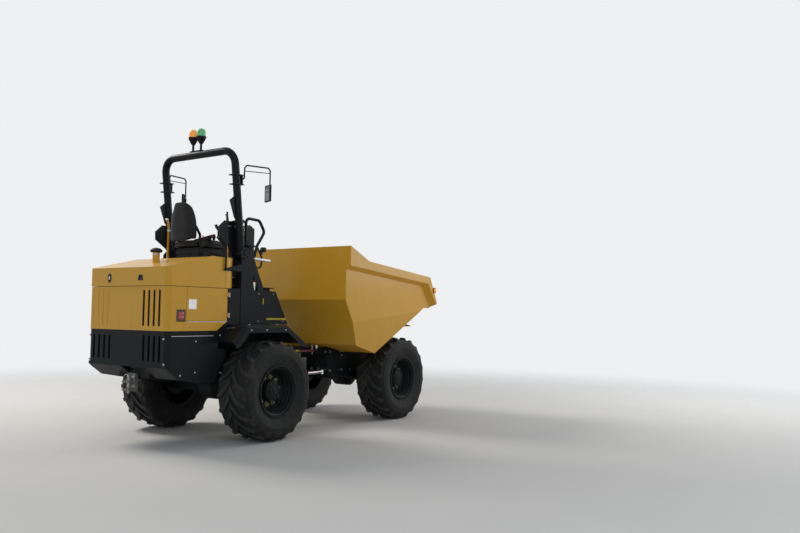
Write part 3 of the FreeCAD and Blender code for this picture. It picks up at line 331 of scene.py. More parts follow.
def makeRibbed():
    # floor mat: fine ribs across, dust between them
    f = Finish("ribbedRubber")
    rib = (f.parts("X")[0] * 420.0).wave() * 0.5 + 0.5
    dirt = f.noise(8.0, 5.0, 0.65).ramp(0.35, 0.7)
    f.setSockets(
        Base_Color=f.mix((0.014, 0.014, 0.015, 1), dustLook["colour"], ((1.0 - rib) * dirt * 0.55).clamp()),
        Roughness=(0.6 + dirt * 0.3 - rib * 0.1).clamp())
    f.bump(rib + f.noise(90.0, 4.0) * 0.3, 0.5, 0.0015)
    return f.material


def makeWeb():
    # woven belt: fine diagonal ribs in dark thread
    f = Finish("beltWeb", Specular_IOR_Level=0.2)
    x, z = f.parts("XZ")
    weave = ((x + z) * 2600.0).wave() * 0.5 + ((x - z) * 2600.0).wave() * 0.5
    f.setSockets(
        Base_Color=f.mix(
            (0.012, 0.012, 0.013, 1), (0.045, 0.045, 0.047, 1), (weave * 0.4 + f.noise(30.0, 4.0) * 0.6).clamp()),
        Roughness=(0.72 + weave * 0.1).clamp())
    f.bump(weave, 0.4, 0.0005)
    return f.material


def makeScreen():
    # instrument face: dark glass with faint paler fields and a smear of dust
    f = Finish("screenGlass", Coat_Weight=0.8, Coat_Roughness=0.05)
    fields = f.cells(38.0, "F1").ramp(0.30, 0.42)
    smear = f.noise(22.0, 5.0, 0.7).ramp(0.5, 0.75)
    f.setSockets(
        Base_Color=f.mix(
            f.mix((0.006, 0.007, 0.008, 1), (0.050, 0.060, 0.066, 1), fields), dustLook["colour"], smear * 0.25),
        Roughness=(0.10 + smear * 0.35).clamp())
    f.bump(fields * 0.2 + smear * 0.3, 0.08, 0.0004)
    return f.material


finishes = {
    "yellow_paint": makeYellow(),
    "black_paint": makeBlack(),
    "rim_paint": makeBlack("rimPaint", "rim", 0.40, 0.55),
    "tyre_rubber": makeTyre(),
    "engine_alloy": makeAlloy(),
    "black_plastic": makePlastic("blackPlastic", (0.0095, 0.0100, 0.0110, 1)),
    "seat_cover": makeVinyl(),
    "amber_lens": makeLens("amberLens", (1.0, 0.36, 0.030, 1), (0.80, 0.20, 0.010, 1), glow=0.75),
    "green_lens": makeLens("greenLens", (0.09, 0.56, 0.22, 1), (0.02, 0.30, 0.09, 1), glow=0.30),
    "red_lens": makeLens("redLens", (0.52, 0.018, 0.012, 1), (0.20, 0.006, 0.004, 1)),
    "bright_rod": makeMetal("brightRod", (0.80, 0.81, 0.83, 1), 0.10, 0.05, 0.12),
    "silver_zinc": makeMetal("silverZinc", (0.46, 0.46, 0.47, 1), 0.30, 0.2, 0.30),
    "red_paint": makeRed(),
}
nutSteel = makeMetal("nutSteel", (0.30, 0.30, 0.31, 1), 0.42, 0.1, 0.45)
plateSilver = makeMetal("plateSilver", (0.70, 0.71, 0.72, 1), 0.34, 0.25, 0.15)
markerYellow = makePlastic("markerYellow", (0.52, 0.46, 0.040, 1), 0.45, 500.0, 0.5)
pipingGrey = makePlastic("pipingGrey", (0.10, 0.10, 0.105, 1), 0.5, 900.0, 0.2)
beltRed = makePlastic("beltRed", (0.42, 0.030, 0.022, 1), 0.6, 700.0, 0.2)
beltWeb = makeWeb()
lampGrey = makePlastic("lampGrey", (0.085, 0.088, 0.090, 1), 0.5, 600.0, 0.3)
creamPlate = makePlastic("creamPlate", (0.36, 0.34, 0.27, 1), 0.45, 800.0, 0.3)
wornSteel = makeMetal("wornSteel", (0.20, 0.20, 0.205, 1), 0.45, 0.15, 0.5)
ribbedRubber = makeRibbed()
clearLens = makeLens("clearLens", (0.62, 0.63, 0.64, 1), (0.30, 0.30, 0.31, 1), 160.0)
mirrorGlass = makeMetal("mirrorGlass", (0.16, 0.18, 0.20, 1), 0.035, 0.0, 0.10)
screenGlass = makeScreen()
slotOf = {row["node"]: row["material_slot"] for row in frame["record"]["subparts"]}
for name, thing in nodes.items():
    thing.data.materials.clear()
    thing.data.materials.append(finishes[slotOf[name]])
paintOver = {"tow_hitch": wornSteel, "door_hinges": nutSteel}
for name, material in paintOver.items():
    nodes[name].data.materials[0] = material
print("finishes made:", len(finishes))


# Modelling calls that the pieces share
bothSides = ((1, "left"), (-1, "right"))


def onSide(place, side):
    # a place given for the left, on either side
    return Vector((place[0], side * place[1], place[2]))


def tilt(angle):
    # a turn about the Y axis, in degrees
    return (0, math.radians(angle), 0)


def facesUp(area):
    # chooses the faces that look straight up and are larger than an area
    return lambda face: face.normal.z > 0.99 and face.calc_area() > area


def deselectAll():
    if bpy.context.object and bpy.context.object.mode != "OBJECT":
        bpy.ops.object.mode_set(mode="OBJECT")
    bpy.ops.object.select_all(action="DESELECT")


def makeActive(thing):
    deselectAll()
    thing.select_set(True)
    bpy.context.view_layer.objects.active = thing


def settle(thing):
    # the place, turn and size go into the mesh
    makeActive(thing)
    bpy.ops.object.transform_apply(location=True, rotation=True, scale=True)
    return thing


def useModifier(thing, kind, **settings):
    modifier = thing.modifiers.new("shape", kind)
    for key, value in settings.items():
        setattr(modifier, key, value)
    makeActive(thing)
    bpy.ops.object.modifier_apply(modifier=modifier.name)
    return thing


def smooth(thing, angle=35):
    makeActive(thing)
    bpy.ops.object.shade_smooth_by_angle(angle=math.radians(angle))
    return thing


def roundEdges(thing, width, steps=2, angle=30):
    useModifier(thing, "BEVEL", width=width, segments=steps, limit_method="ANGLE", angle_limit=math.radians(angle))
    return smooth(thing)


def startBox(size, place=(0, 0, 0), turn=(0, 0, 0), soften=0.0, steps=2):
    deselectAll()
    bpy.ops.mesh.primitive_cube_add(size=1.0, location=place, rotation=turn)
    box = bpy.context.object
    box.scale = size
    settle(box)
    return roundEdges(box, soften, steps) if soften else box


def spanBox(spanX, spanY, spanZ, **more):
    # a box by where it starts and ends on each axis
    spans = (spanX, spanY, spanZ)
    return startBox([end - start for start, end in spans], [(start + end) / 2 for start, end in spans], **more)


def turnedUp(profile, sides=32, place=(0, 0, 0), turn=(0, 0, 0)):
    # a ring drawn upward and in or out, from (height, radius) to the next; both ends closed
    deselectAll()
    bpy.ops.mesh.primitive_circle_add(
        vertices=sides, radius=profile[0][1], location=(0, 0, profile[0][0]), fill_type="NGON")
    shape = bpy.context.object
    settle(shape)
    bpy.ops.object.mode_set(mode="EDIT")
    bpy.ops.mesh.select_all(action="SELECT")
    for (lowZ, lowR), (highZ, highR) in zip(profile, profile[1:]):
        bpy.ops.mesh.extrude_region_move(TRANSFORM_OT_translate={"value": (0, 0, highZ - lowZ)})
        part = highR / lowR
        bpy.ops.transform.resize(value=(part, part, 1), center_override=(0, 0, highZ))
    bpy.ops.mesh.select_all(action="SELECT")
    bpy.ops.mesh.normals_make_consistent(inside=False)
    bpy.ops.object.mode_set(mode="OBJECT")
    shape.location = place
    shape.rotation_euler = turn
    settle(shape)
    return smooth(shape, 40)


def pickFaces(thing, chosen):
    # edit mode with just the faces for which chosen(face) holds
    makeActive(thing)
    bpy.ops.object.mode_set(mode="EDIT")
    bpy.ops.mesh.select_mode(type="FACE")
    bpy.ops.mesh.select_all(action="DESELECT")
    mesh = bmesh.from_edit_mesh(thing.data)
    for face in mesh.faces:
        face.select = bool(chosen(face))
    bmesh.update_edit_mesh(thing.data)


def pressIn(thing, chosen, inset, depth):
    # a panel set into the chosen faces: an inset ring, then pushed along the faces' own normal
    pickFaces(thing, chosen)
    bpy.ops.mesh.inset(thickness=inset, depth=0.0)
    bpy.ops.mesh.inset(thickness=0.0004, depth=-depth)
    bpy.ops.object.mode_set(mode="OBJECT")
    return thing


def joinUp(things):
    deselectAll()
    for thing in things:
        thing.select_set(True)
    bpy.context.view_layer.objects.active = things[0]
    if len(things) > 1:
        bpy.ops.object.join()
    return bpy.context.view_layer.objects.active


def copyTo(model, place, along=(0, 0, 1), spin=0.0, size=1.0):
    # a copy with its own mesh, its own Z laid along a direction
    other = model.copy()
    other.data = model.data.copy()
    bpy.context.scene.collection.objects.link(other)
    upright = Vector(along).normalized().z > 0.9999
    turn = Matrix.Identity(4) if upright else Vector(along).to_track_quat("Z", "Y").to_matrix().to_4x4()
    other.matrix_world = Matrix.Translation(place) @ turn @ Matrix.Rotation(spin, 4, "Z") @ Matrix.Scale(size, 4)
    return other


def laid(shape, place, along=(0, 0, 1), spin=0.0, size=1.0):
    # moves a shape drawn upward at the origin to its place, with its own Z laid along a direction
    other = copyTo(shape, place, along, spin, size)
    bpy.data.objects.remove(shape)
    return other


def fit(thing, name, body, slotName, material=None, replaced=()):
    # gives a piece its finish, name and body; the slot's finish is used unless another one is given
    thing.data.materials.clear()
    thing.data.materials.append(material or finishes[slotName])
    settle(thing)
    thing.name = name
    thing.data.name = name
    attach(thing, body)
    if replaced:
        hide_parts(*replaced)
    return thing


def tubeAlong(points, radius, sides=12, rounding=0.0):
    # a mesh tube on a polyline whose corners are rounded by a bevel
    curve = bpy.data.curves.new("line", "CURVE")
    curve.dimensions = "3D"
    spline = curve.splines.new("POLY")
    spline.points.add(len(points) - 1)
    for point, place in zip(spline.points, points):
        point.co = (*place, 1)
    line = bpy.data.objects.new("line", curve)
    bpy.context.scene.collection.objects.link(line)
    makeActive(line)
    bpy.ops.object.convert(target="MESH")
    line = bpy.context.object
    if rounding:
        useModifier(line, "BEVEL", width=rounding, segments=5, affect="VERTICES", limit_method="NONE")
    makeActive(line)
    bpy.ops.object.convert(target="CURVE")
    line = bpy.context.object
    line.data.bevel_depth = radius
    line.data.bevel_resolution = max(1, sides // 4)
    line.data.use_fill_caps = True
    makeActive(line)
    bpy.ops.object.convert(target="MESH")
    return smooth(bpy.context.object, 50)


# Small fastenings, each modelled once and copied
def modelBolt(radius, head, washer=1.35):
    ring = turnedUp([(0, radius * washer), (head * 0.22, radius * washer), (head * 0.24, radius * washer * 0.96)], 20)
    deselectAll()
    bpy.ops.mesh.primitive_cylinder_add(
        vertices=6, radius=radius, depth=head, location=(0, 0, head * 0.7), end_fill_type="NGON")
    top = settle(bpy.context.object)
    roundEdges(top, radius * 0.12, 1)
    return joinUp([ring, top])


def modelDome(radius, height):
    return turnedUp(
        [(0, radius), (height * 0.45, radius * 0.97), (height * 0.8, radius * 0.72), (height, radius * 0.30)], 20)


def scatter(model, rows, name, body, slotName, material=None):
    # copies of a model by rows of (place, along, size), joined to one piece
    things = [copyTo(model, place, along, spin=0.35 * i, size=size) for i, (place, along, size) in enumerate(rows)]
    return fit(joinUp(things), name, body, slotName, material)


models = []


def asModel(thing):
    # a model only gives copies, and is removed before the end
    models.append(thing)
    return thing


boltModel = asModel(modelBolt(0.0125, 0.009))
domeModel = asModel(modelDome(0.010, 0.006))

# Wheels: nuts, with yellow markers on the rear ones, the hub's cover and a valve in each rim
wheelFit = {
    "centres": {
        "wheel_rear_right": (-0.975, -0.863), "wheel_rear_left": (-0.975, 0.863),
        "wheel_front_right": (1.615, -0.863), "wheel_front_left": (1.615, 0.863)},
    "axleZ": 0.580,
    "dish": 0.0442,          # out from the wheel's middle to the disc's face
    "hubFace": 0.1202,
    "nutRing": 0.165,
    "nuts": 10,
    "firstNut": 9,
    "coverBolts": 8,
    "coverRing": 0.087,
    "stem": (0.228, 0.056, 0.060),      # from the wheel's middle
}


def modelNut():
    washer = turnedUp([(0, 0.0230), (0.0025, 0.0230), (0.003, 0.0222)], 24)
    deselectAll()
    bpy.ops.mesh.primitive_cylinder_add(
        vertices=6, radius=0.0185, depth=0.017, location=(0, 0, 0.0115), end_fill_type="NGON")
    nut = roundEdges(settle(bpy.context.object), 0.0018, 1)
    stud = turnedUp([(0.018, 0.0105), (0.030, 0.0105), (0.032, 0.0085)], 16)
    return joinUp([washer, nut, stud])


def modelMarker():
    # a thin ring with a pointer that is pushed over the nut
    ring = turnedUp([(0.0032, 0.0248), (0.0062, 0.0248), (0.0068, 0.0235)], 24)
    pointer = startBox((0.018, 0.009, 0.003), (0.030, 0, 0.0049), soften=0.001, steps=1)
    return joinUp([ring, pointer])


nutModel = asModel(modelNut())
markerModel = asModel(modelMarker())
hubCoverModel = asModel(joinUp([
    turnedUp([(0, 0.104), (0.006, 0.104), (0.009, 0.100), (0.009, 0.070), (0.016, 0.066), (0.018, 0.058)], 48),
    turnedUp([(0.017, 0.019), (0.026, 0.019), (0.028, 0.016)], 6)]))
stemModel = asModel(turnedUp([(0, 0.0050), (0.030, 0.0050), (0.031, 0.0062), (0.045, 0.0062), (0.047, 0.0045)], 14))
for body, (x, y) in wheelFit["centres"].items():
    side = 1 if y > 0 else -1
    out = (0, side, 0)
    face = y + side * wheelFit["dish"]
    nutRows = []
    markerThings = []
    for i in range(wheelFit["nuts"]):
        turn = math.radians(360 / wheelFit["nuts"] * i + wheelFit["firstNut"])
        place = Vector((
            x + wheelFit["nutRing"] * math.cos(turn), face, wheelFit["axleZ"] + wheelFit["nutRing"] * math.sin(turn)))
        nutRows.append((place, out, 1.0))
        if "rear" in body:
            markerThings.append(copyTo(markerModel, place, out, spin=turn * side + random.uniform(-0.25, 0.25)))
    scatter(nutModel, nutRows, body + "_nuts", body, "rim_paint", nutSteel)
    if markerThings:
        fit(joinUp(markerThings), body + "_nut_markers", body, "yellow_paint", markerYellow)
    hubFace = Vector((x, y + side * wheelFit["hubFace"], wheelFit["axleZ"]))
    fit(copyTo(hubCoverModel, hubFace, out), body + "_hub_cover", body, "rim_paint")
    boltRows = []
    for i in range(wheelFit["coverBolts"]):
        turn = math.radians(360 / wheelFit["coverBolts"] * i)
        reach = wheelFit["coverRing"] * Vector((math.cos(turn), 0, math.sin(turn)))
        boltRows.append((hubFace + reach + Vector((0, side * 0.009, 0)), out, 0.75))
    scatter(boltModel, boltRows, body + "_hub_bolts", body, "rim_paint")
    stemPlace = Vector((x, y, wheelFit["axleZ"])) + onSide(wheelFit["stem"], side)
    stem = copyTo(stemModel, stemPlace, (0.25, side, 0))
    fit(stem, body + "_valve", body, "black_plastic")
print("wheels fitted:", len(wheelFit["centres"]))

# Rear body: the guard's bolts, bright strips on the skirts as a painted highlight along a fold, and a blank plate on
# the right door
rearFit = {
    "wallX": -2.2823,
    "skinY": 0.6833,
    # y, z of the bolts on the rear wall; x, z of those on each side
    "wallBolts": [(-0.628, 1.194), (-0.641, 0.925), (0.654, 1.210), (0.657, 0.934)],
    "sideBolts": [(-1.890, 1.162), (-1.892, 0.825), (-2.096, 0.800), (-1.540, 1.225)],
    "plateX": (-2.004, -1.894),
    "plateZ": (1.518, 1.626),
    # where the silver strip on each skirt runs: a painted highlight along the skirt's fold
    "stripX": (-2.225, -1.634),
    "stripZ": 1.2235,
}
wallRows = [((rearFit["wallX"], y, z), (-1, 0, 0), 1.25) for y, z in rearFit["wallBolts"]]
sideRows = [
    ((x, side * rearFit["skinY"], z), (0, side, 0), 1.1) for x, z in rearFit["sideBolts"] for side, tag in bothSides]
scatter(domeModel, wallRows + sideRows, "guard_bolts", "rear_frame", "silver_zinc")

# each skirt gets a thin silver strip that stands in for the light caught on its fold: a painted highlight
for side, tag in bothSides:
    strip = startBox(
        (rearFit["stripX"][1] - rearFit["stripX"][0], 0.0016, 0.007),
        (sum(rearFit["stripX"]) / 2, side * (rearFit["skinY"] + 0.0004), rearFit["stripZ"]), soften=0.0005, steps=1)
    fit(strip, "skirt_strip_" + tag, "rear_frame", "silver_zinc")

plateX = sum(rearFit["plateX"]) / 2
plateZ = sum(rearFit["plateZ"]) / 2
plate = startBox(
    (rearFit["plateX"][1] - rearFit["plateX"][0], 0.0022, rearFit["plateZ"][1] - rearFit["plateZ"][0]),
    (plateX, -rearFit["skinY"] - 0.0008, plateZ), soften=0.0008, steps=1)
pressIn(plate, lambda face: face.normal.y < -0.9 and face.calc_area() > 0.005, 0.006, 0.0006)
fit(plate, "blank_plate_right", "right_door", "silver_zinc", plateSilver)
plateRivets = [((plateX + u * 0.046, -rearFit["skinY"] - 0.0018, plateZ + v * 0.045), (0, -1, 0), 0.35)
               for u in (-1, 1) for v in (-1, 1)]
scatter(domeModel, plateRivets, "plate_rivets_right", "right_door", "silver_zinc")

# Cover: an upright turn lock and a black handle cup on the rear slope
coverFit = {"lockY": 0.312, "lockZ": 1.857, "cupY": (-0.276, -0.188), "cupZ": (1.823, 1.886), "rearX": -2.2973}
lockBody = turnedUp([(0, 0.028), (0.005, 0.028), (0.008, 0.025), (0.008, 0.015), (0.004, 0.014)], 40)
lockBody.scale = (1.0, 1.85, 1.0)
settle(lockBody)
lockPlace = (coverFit["rearX"], coverFit["lockY"], coverFit["lockZ"])
fit(laid(lockBody, lockPlace, (-1, 0, 0)), "cover_lock", "cover", "black_plastic")
keyPlate = turnedUp([(0.003, 0.0120), (0.0062, 0.0120), (0.0072, 0.0105)], 28)
keyPlate.scale = (1.0, 1.85, 1.0)
key = joinUp([settle(keyPlate), startBox((0.0030, 0.018, 0.004), (0, 0, 0.0085), soften=0.0008, steps=1)])
fit(laid(key, lockPlace, (-1, 0, 0)), "cover_lock_key", "cover", "silver_zinc", plateSilver)
cup = startBox(
    (0.0050, coverFit["cupY"][1] - coverFit["cupY"][0], coverFit["cupZ"][1] - coverFit["cupZ"][0]),
    (coverFit["rearX"], sum(coverFit["cupY"]) / 2, sum(coverFit["cupZ"]) / 2))
for vertex in cup.data.vertices:
    if vertex.co.z > sum(coverFit["cupZ"]) / 2:
        vertex.co.y += 0.30 * (sum(coverFit["cupY"]) / 2 - vertex.co.y)
roundEdges(cup, 0.002)
pressIn(cup, lambda face: face.normal.x < -0.9 and face.calc_area() > 0.003, 0.007, 0.0014)
fit(cup, "cover_handle_cup", "cover", "black_plastic")

# Grille behind the open slots: a folded tray with slats
grilleFit = {"x": -2.262, "y": (-0.615, -0.235), "z": (1.300, 1.745), "slats": 22}
tray = startBox(
    (0.016, grilleFit["y"][1] - grilleFit["y"][0], grilleFit["z"][1] - grilleFit["z"][0]),
    (grilleFit["x"], sum(grilleFit["y"]) / 2, sum(grilleFit["z"]) / 2), soften=0.002, steps=1)
pressIn(tray, lambda face: face.normal.x < -0.9 and face.calc_area() > 0.05, 0.012, 0.012)
slatModel = asModel(startBox(
    (0.004, grilleFit["y"][1] - grilleFit["y"][0] - 0.02, 0.0075), turn=tilt(-28), soften=0.001, steps=1))
slats = []
for i in range(grilleFit["slats"]):
    z = grilleFit["z"][0] + 0.018 + i * (grilleFit["z"][1] - grilleFit["z"][0] - 0.036) / (grilleFit["slats"] - 1)
    slats.append(copyTo(slatModel, (grilleFit["x"] - 0.004, sum(grilleFit["y"]) / 2, z)))
fit(joinUp([tray] + slats), "rear_grille", "rear_frame", "black_plastic")
print("rear body fitted")

# Seat: sewn cushion and back, swollen by a short cloth run, with piping along the seams
seatLook = {
    "cushion": {"x": (-1.524, -1.030), "y": 0.226, "z": (2.262, 2.334)},
    "back": {
        "y": 0.180, "lowZ": 2.356, "highZ": 2.722, "frontLow": -1.466, "frontHigh": -1.512, "rearLow": -1.548,
        "rearHigh": -1.570},
    "voxel": 0.006,
    "pressure": 4.0,
    "cap": 0.010,               # the most that the padding swells
    "seamDown": 0.012,
    "backMiddle": (-1.528, 0, 2.53),
}


def paddedFrom(shape, name, replaced):
    # remesh, swell and cap the movement, then one subdivision
    pad = laid(shape, (0, 0, 0))
    useModifier(pad, "REMESH", mode="VOXEL", voxel_size=seatLook["voxel"] * 1.0)
    start = [v.co.copy() for v in pad.data.vertices]
    makeActive(pad)
    cloth = pad.modifiers.new("swell", "CLOTH")
    cloth.settings.use_pressure = True
    cloth.settings.uniform_pressure_force = seatLook["pressure"]
    cloth.settings.effector_weights.gravity = 0
    cloth.settings.quality = 5
    scene = bpy.context.scene
    for step in range(1, 21):
        scene.frame_set(step)
    makeActive(pad)
    bpy.ops.object.modifier_apply(modifier=cloth.name)
    scene.frame_set(1)
    for vertex, place in zip(pad.data.vertices, start):
        way = vertex.co - place
        if way.length > seatLook["cap"]:
            vertex.co = place + way.normalized() * seatLook["cap"]
    useModifier(pad, "SUBSURF", levels=1, render_levels=1)
    smooth(pad, 60)
    fit(pad, name, "rear_frame", "seat_cover", replaced=replaced)
    return pad


def gridBox(sizeX, sizeY, sizeZ, place, cuts):
    box = startBox((sizeX, sizeY, sizeZ), place)
    makeActive(box)
    bpy.ops.object.mode_set(mode="EDIT")
    bpy.ops.mesh.select_all(action="SELECT")
    bpy.ops.mesh.subdivide(number_cuts=cuts)
    bpy.ops.object.mode_set(mode="OBJECT")
    return box


def shapeCushion():
    look = seatLook["cushion"]
    sizeX = look["x"][1] - look["x"][0]
    tall = look["z"][1] - look["z"][0]
    middle = Vector((sum(look["x"]) / 2, 0, sum(look["z"]) / 2))
    box = gridBox(sizeX, look["y"] * 2, tall, middle, 24)
    for vertex in box.data.vertices:
        u = (vertex.co.x - middle.x) / (sizeX / 2)          # -1 at the back, 1 at the front
        v = vertex.co.y / look["y"]
        w = (vertex.co.z - middle.z) / (tall / 2)
        corner = max(0.0, abs(u) - 0.62) ** 2 * 0.55 + max(0.0, abs(v) - 0.70) ** 2 * 0.55
        pull = 1.0 - 0.10 * (u * u * v * v)
        vertex.co.y = v * look["y"] * (pull - 0.05 * max(0.0, u) ** 3)
        vertex.co.x = middle.x + u * sizeX / 2 * pull
        if w > 0:
            bolster = math.exp(-((abs(v) - 0.78) / 0.16) ** 2) * 0.016 * (1 - 0.5 * max(0, u) ** 4)
            channel = sum(math.exp(-((u - place) / 0.025) ** 2) for place in (-0.45, -0.05, 0.35)) * (abs(v) < 0.60)
            side = math.exp(-((abs(v) - 0.60) / 0.03) ** 2)
            fall = -0.030 * max(0.0, u - 0.45) ** 2 * 3.3
            vertex.co.z += w * (
                bolster + fall - channel * 0.005 - side * 0.006 - corner * 0.10 + 0.004 * (1 - u * u) * (1 - v * v))
        else:
            vertex.co.z += 0.010 * corner * 2
    return box


def shapeBack():
    look = seatLook["back"]
    tall = look["highZ"] - look["lowZ"]
    box = gridBox(1.0, look["y"] * 2, tall, (0, 0, (look["lowZ"] + look["highZ"]) / 2), 24)
    for vertex in box.data.vertices:
        h = (vertex.co.z - look["lowZ"]) / tall
        v = vertex.co.y / look["y"]
        d = vertex.co.x * 2                                    # -1 at the rear face, 1 at the front
        rear = look["rearLow"] + (look["rearHigh"] - look["rearLow"]) * h
        front = look["frontLow"] + (look["frontHigh"] - look["frontLow"]) * h
        wide = 1.0 - 0.30 * max(0.0, h - 0.45) ** 1.6 / 0.55 ** 1.6 - 0.05 * (1 - h)
        dip = 0.030 * v * v * h * h                            # the top runs down to both sides
        thick = 1.0 - 0.25 * max(0.0, h - 0.7) / 0.3
        middle = (rear + front) / 2
        vertex.co.x = middle + d * (front - rear) / 2 * thick * (1 - 0.12 * v ** 4)
        if d > 0:
            bolster = math.exp(-((abs(v) - 0.78) / 0.16) ** 2) * 0.014 * (1 - h * 0.6)
            channel = sum(math.exp(-((h - place) / 0.02) ** 2) for place in (0.22, 0.44, 0.66)) * (abs(v) < 0.60)
            vertex.co.x += d * (bolster - channel * 0.005 - math.exp(-((abs(v) - 0.60) / 0.03) ** 2) * 0.005)
        vertex.co.y = v * look["y"] * wide
        vertex.co.z -= dip
    return box


cushion = paddedFrom(shapeCushion(), "seat_cushion_pad", ["seat_cushion"])
back = paddedFrom(shapeBack(), "seat_back_pad", ["seat_back"])


def surfaceAt(pad, start, direction):
    # where a line meets a pad, seen from outside
    hit, place = pad.ray_cast(Vector(start), Vector(direction))[:2]
    return place if hit else None


def pipingOn(pad, rows, name, radius=0.0042):
    # rows: (start, direction) lines that meet the pad along its seam
    bpy.context.view_layer.update()
    points = []
    for start, direction in rows:
        place = surfaceAt(pad, start, direction)
        if place is not None:
            points.append(place - Vector(direction).normalized() * radius * 0.2)
    closed = (points[0] - points[-1]).length < 0.08
    tube = tubeAlong(points + [points[0]] if closed else points, radius, 8)
    return fit(tube, name, "rear_frame", "seat_cover", pipingGrey)


ringRows = []
cushionLook = seatLook["cushion"]
seamZ = cushionLook["z"][1] - seatLook["seamDown"]
for i in range(72):
    turn = 2 * math.pi * i / 72
    reach = Vector((math.cos(turn), math.sin(turn), 0))
    start = Vector((sum(cushionLook["x"]) / 2, 0, seamZ)) + reach * 0.8
    ringRows.append((start, -reach))
pipingOn(cushion, ringRows, "seat_cushion_piping")
backRows = []
for i in range(49):
    turn = math.radians(-35 + 250 * i / 48)
    reach = Vector((0, math.cos(turn), math.sin(turn)))
    backRows.append((Vector(seatLook["backMiddle"]) + reach * 0.6, -reach))
pipingOn(back, backRows, "seat_back_piping")

# Shell behind the back, wider than the pad and rounded over at the top; belt and buckle
shellLook = {"lowZ": 2.330, "highZ": 2.786, "lowX": -1.578, "highX": -1.592, "half": 0.222, "thick": 0.016, "cuts": 16}
shell = gridBox(shellLook["thick"], shellLook["half"] * 2, 1.0, (0, 0, 0.5), shellLook["cuts"])
for vertex in shell.data.vertices:
    h = vertex.co.z
    v = vertex.co.y / shellLook["half"]
    d = vertex.co.x
    narrow = 1.0 - 0.36 * max(0.0, h - 0.35) ** 1.8 / 0.65 ** 1.8
    z = shellLook["lowZ"] + (shellLook["highZ"] - shellLook["lowZ"]) * h
    vertex.co.y = v * shellLook["half"] * narrow
    vertex.co.z = z - 0.060 * v ** 4 * h ** 3 + 0.045 * v ** 4 * (1 - h) ** 4
    # the sides wrap forward round the pad
    vertex.co.x = d + shellLook["lowX"] + (shellLook["highX"] - shellLook["lowX"]) * h + 0.050 * v ** 4
roundEdges(shell, 0.004)
smooth(shell, 50)
fit(shell, "seat_back_shell", "rear_frame", "black_plastic")
for side, tag in bothSides:
    hip = startBox((0.190, 0.030, 0.115), (-1.400, side * 0.238, 2.325), turn=tilt(-18), soften=0.010, steps=3)
    pressIn(hip, lambda face: abs(face.normal.y) > 0.9 and face.calc_area() > 0.008, 0.014, 0.003)
    fit(hip, "seat_hip_" + tag, "rear_frame", "black_plastic")
buckle = joinUp([
    startBox((0.050, 0.020, 0.032), (-1.330, -0.262, 2.385), turn=tilt(-30), soften=0.004),
    startBox((0.014, 0.006, 0.060), (-1.345, -0.262, 2.350), turn=tilt(-30), soften=0.002, steps=1)])
fit(buckle, "belt_buckle", "rear_frame", "black_plastic")
button = startBox((0.030, 0.0225, 0.014), (-1.336, -0.262, 2.402), turn=tilt(-30), soften=0.003)
fit(button, "belt_button", "rear_frame", "red_paint", beltRed)
strap = startBox((0.150, 0.0022, 0.046), (-1.420, -0.2560, 2.352), turn=tilt(-16), soften=0.0008, steps=1)
fit(strap, "belt_strap", "rear_frame", "black_plastic", beltWeb)
tongue = startBox((0.020, 0.006, 0.036), (-1.452, -0.2585, 2.372), turn=tilt(-16), soften=0.003)
fit(tongue, "belt_release", "rear_frame", "red_paint", beltRed)
print("seat made")

# Hoop: mirrors with glass, beacon rings and caps
mirrorFit = {
    "x": -0.872, "y": 0.760, "z": (2.828, 3.033), "half": 0.075, "back": -0.0353, "front": -0.0093,
    "clampZ": 2.930,
    "frame": 0.028,          # both edges of the housing round the glass
    "turns": {"left": -52.0, "right": -22.0},
}
housings = []
for side, tag in bothSides:
    housing = spanBox((mirrorFit["back"], mirrorFit["front"]), (-mirrorFit["half"], mirrorFit["half"]), mirrorFit["z"])
    makeActive(housing)
    bpy.ops.object.mode_set(mode="EDIT")
    bpy.ops.mesh.select_all(action="SELECT")
    bpy.ops.mesh.bevel(offset=0.006, segments=3, affect="EDGES")
    bpy.ops.object.mode_set(mode="OBJECT")
    pressIn(housing, lambda face: face.normal.x < -0.99 and face.calc_area() > 0.015, 0.006, 0.0025)
    clamp = turnedUp([(0, 0.015), (0.050, 0.015), (0.052, 0.013)], 20, place=(0, 0, mirrorFit["clampZ"]))
    tall = mirrorFit["z"][1] - mirrorFit["z"][0]
    glass = startBox(
        (0.0012, mirrorFit["half"] * 2 - mirrorFit["frame"], tall - mirrorFit["frame"]),
        (mirrorFit["back"] + 0.0016, 0, sum(mirrorFit["z"]) / 2), soften=0.0003, steps=1)
    place = Matrix.Translation((mirrorFit["x"], side * mirrorFit["y"], 0)) @ Matrix.Rotation(
        math.radians(mirrorFit["turns"][tag]), 4, "Z")
    for thing in (housing, clamp, glass):
        thing.matrix_world = place @ thing.matrix_world
        settle(thing)
    housings.append(joinUp([smooth(housing), clamp]))
    fit(glass, "mirror_glass_" + tag, "hoop_frame", "silver_zinc", mirrorGlass)
fit(joinUp(housings), "mirror_housings", "hoop_frame", "black_plastic", replaced=["mirrors"])

beaconFit = {"x": -1.335, "y": {"orange": 0.100, "green": -0.040}, "ringZ": 3.6146, "capZ": 3.7201}
for name, y in beaconFit["y"].items():
    ring = turnedUp(
        [(0, 0.0605), (0.004, 0.0622), (0.011, 0.0622), (0.014, 0.0590)], 40,
        place=(beaconFit["x"], y, beaconFit["ringZ"]))
    fit(ring, "beacon_ring_" + name, "hoop_frame", "black_plastic")
    cap = turnedUp([(0, 0.016), (0.004, 0.016), (0.006, 0.010)], 20, place=(beaconFit["x"], y, beaconFit["capZ"]))
    fit(cap, "beacon_cap_" + name, "hoop_frame", "black_plastic")
